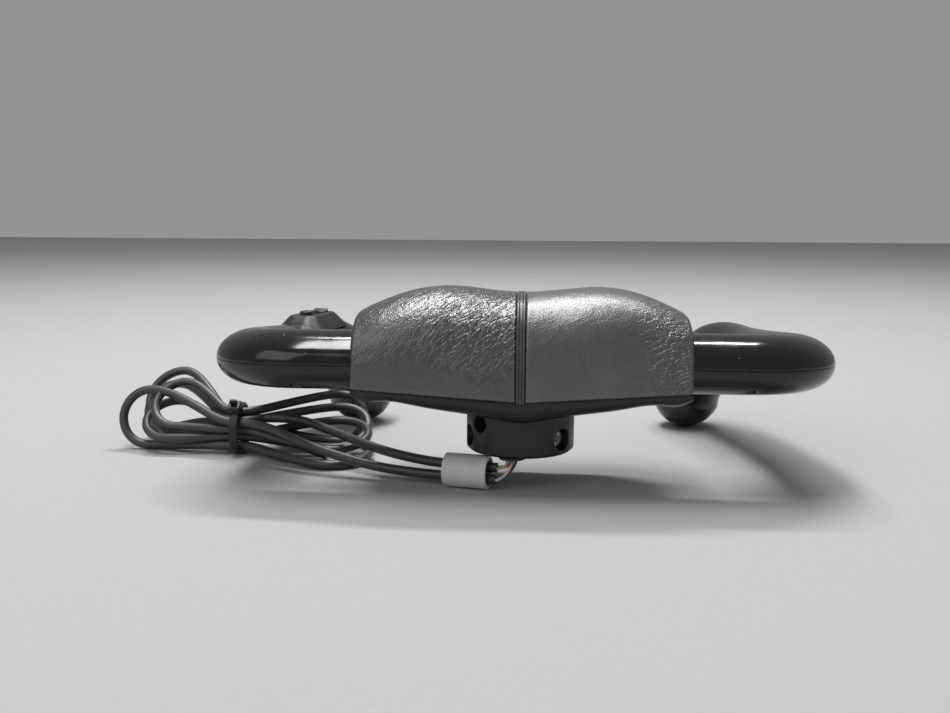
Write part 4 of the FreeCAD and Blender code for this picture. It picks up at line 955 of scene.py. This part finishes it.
class WHEEL_OT_mouldings(bpy.types.Operator):
    """Softens the edges of the turned and moulded parts, so that their parting lines and rims catch the light"""

    bl_idname = "wheel.mouldings"
    bl_label = "Mouldings"

    def execute(self, context):
        for node, (width, sharp, start, body) in SOFTENED.items():
            form = bmesh.new()
            form.from_mesh(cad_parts[node].data)
            bmesh.ops.remove_doubles(form, verts=form.verts, dist=WELD)
            bmesh.ops.dissolve_limit(form, angle_limit=math.radians(FLAT), verts=form.verts, edges=form.edges)
            edges = [edge for edge in form.edges
                     if len(edge.link_faces) == 2 and edge.calc_face_angle(0) > math.radians(sharp)
                     and min(abs(vert.co.x) for vert in edge.verts) >= start * MM]
            bmesh.ops.bevel(form, geom=edges, offset=width * MM, offset_type="OFFSET", segments=2, profile=0.5,
                            affect="EDGES", clamp_overlap=start == 0, material=-1)
            mesh = mesh_from(f"{node}_form", form, sharp=32)
            piece = keep_piece(f"{node}_form", mesh, None, body)
            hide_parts(node)
            FORMS[node] = piece
        return {"FINISHED"}


class WHEEL_OT_finishes(bpy.types.Operator):
    """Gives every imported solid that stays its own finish"""

    bl_idname = "wheel.finishes"
    bl_label = "Finishes"

    def execute(self, context):
        black_steel, bright_steel = bare_metal("black_steel"), bare_metal("bright_steel")
        gloss = horn_gloss()
        finishes = {
            "column_hub": painted_metal(),
            "clamp_screws": bright_steel,
            "locking_screws": black_steel,
            "frame_bolts": bright_steel,
            "outlet_grommet": rubber("grommet_rubber", GROMMET_RUBBER, 0.55),
            "spoke_frame": bare_metal("cast_alloy"),
            "core_set_screws": black_steel,
            "cover_carrier": moulded("carrier_moulding"),
            "back_shell": satin_moulding("shell_satin", colour_of("moulding", 0.5), 0.30, 0.4),
            "cover_screws": bright_steel,
            "switch_housing": satin_moulding("switch_moulding", colour_of("moulding", 1.1), 0.4, 0.3),
            "rocker_pin": bare_metal("pin_steel"),
            "trim_rocker": moulded("rocker_moulding"),
            "trim_switch": moulded("switch_body"),
            "ptt_switch": moulded("button_switch_body"),
            "ptt_button": moulded("button_black"),
            "ptt_spring": bare_metal("spring_wire"),
            "horn_left_front_half": gloss,
            "horn_left_rear_half": gloss,
            "horn_right_front_half": gloss,
            "horn_right_rear_half": gloss,
            "horn_core_left": bare_metal("core_steel"),
            "horn_core_right": bare_metal("core_steel_right"),
            "horn_screws_left": black_steel,
            "horn_screws_right": black_steel,
            "horn_harness": rubber("harness_sheath", HARNESS_SHEATH, 0.6),
            "cable_sleeve": white_sleeve(),
            "cable_tie": moulded("tie_nylon"),
        }
        for node, finish in finishes.items():
            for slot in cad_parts[node].material_slots:
                slot.material = finish
            if node in FORMS:
                FORMS[node].data.materials.clear()
                FORMS[node].data.materials.append(finish)
        return {"FINISHED"}


class WHEEL_PT_panel(bpy.types.Panel):
    """The sidebar panel with the wheel's pieces"""

    bl_idname = "WHEEL_PT_panel"
    bl_label = "Control Wheel"
    bl_space_type = "VIEW_3D"
    bl_region_type = "UI"
    bl_category = "Wheel"

    def draw(self, context):
        for operator in STEPS:
            self.layout.operator(operator.bl_idname)


STEPS = (WHEEL_OT_stage, WHEEL_OT_cables, WHEEL_OT_pads, WHEEL_OT_trim, WHEEL_OT_mouldings, WHEEL_OT_finishes)
CLASSES = (CoverSizes, TrimSizes, CableSizes, Colours, WheelSettings, *STEPS, WHEEL_PT_panel)


def register():
    for item in CLASSES:
        bpy.utils.register_class(item)
    bpy.types.Scene.control_wheel = bpy.props.PointerProperty(type=WheelSettings)


def unregister():
    del bpy.types.Scene.control_wheel
    for item in reversed(CLASSES):
        bpy.utils.unregister_class(item)


def main():
    register()
    for operator in STEPS:
        group, name = operator.bl_idname.split(".")
        getattr(getattr(bpy.ops, group), name)()


if __name__ == "__main__":
    main()
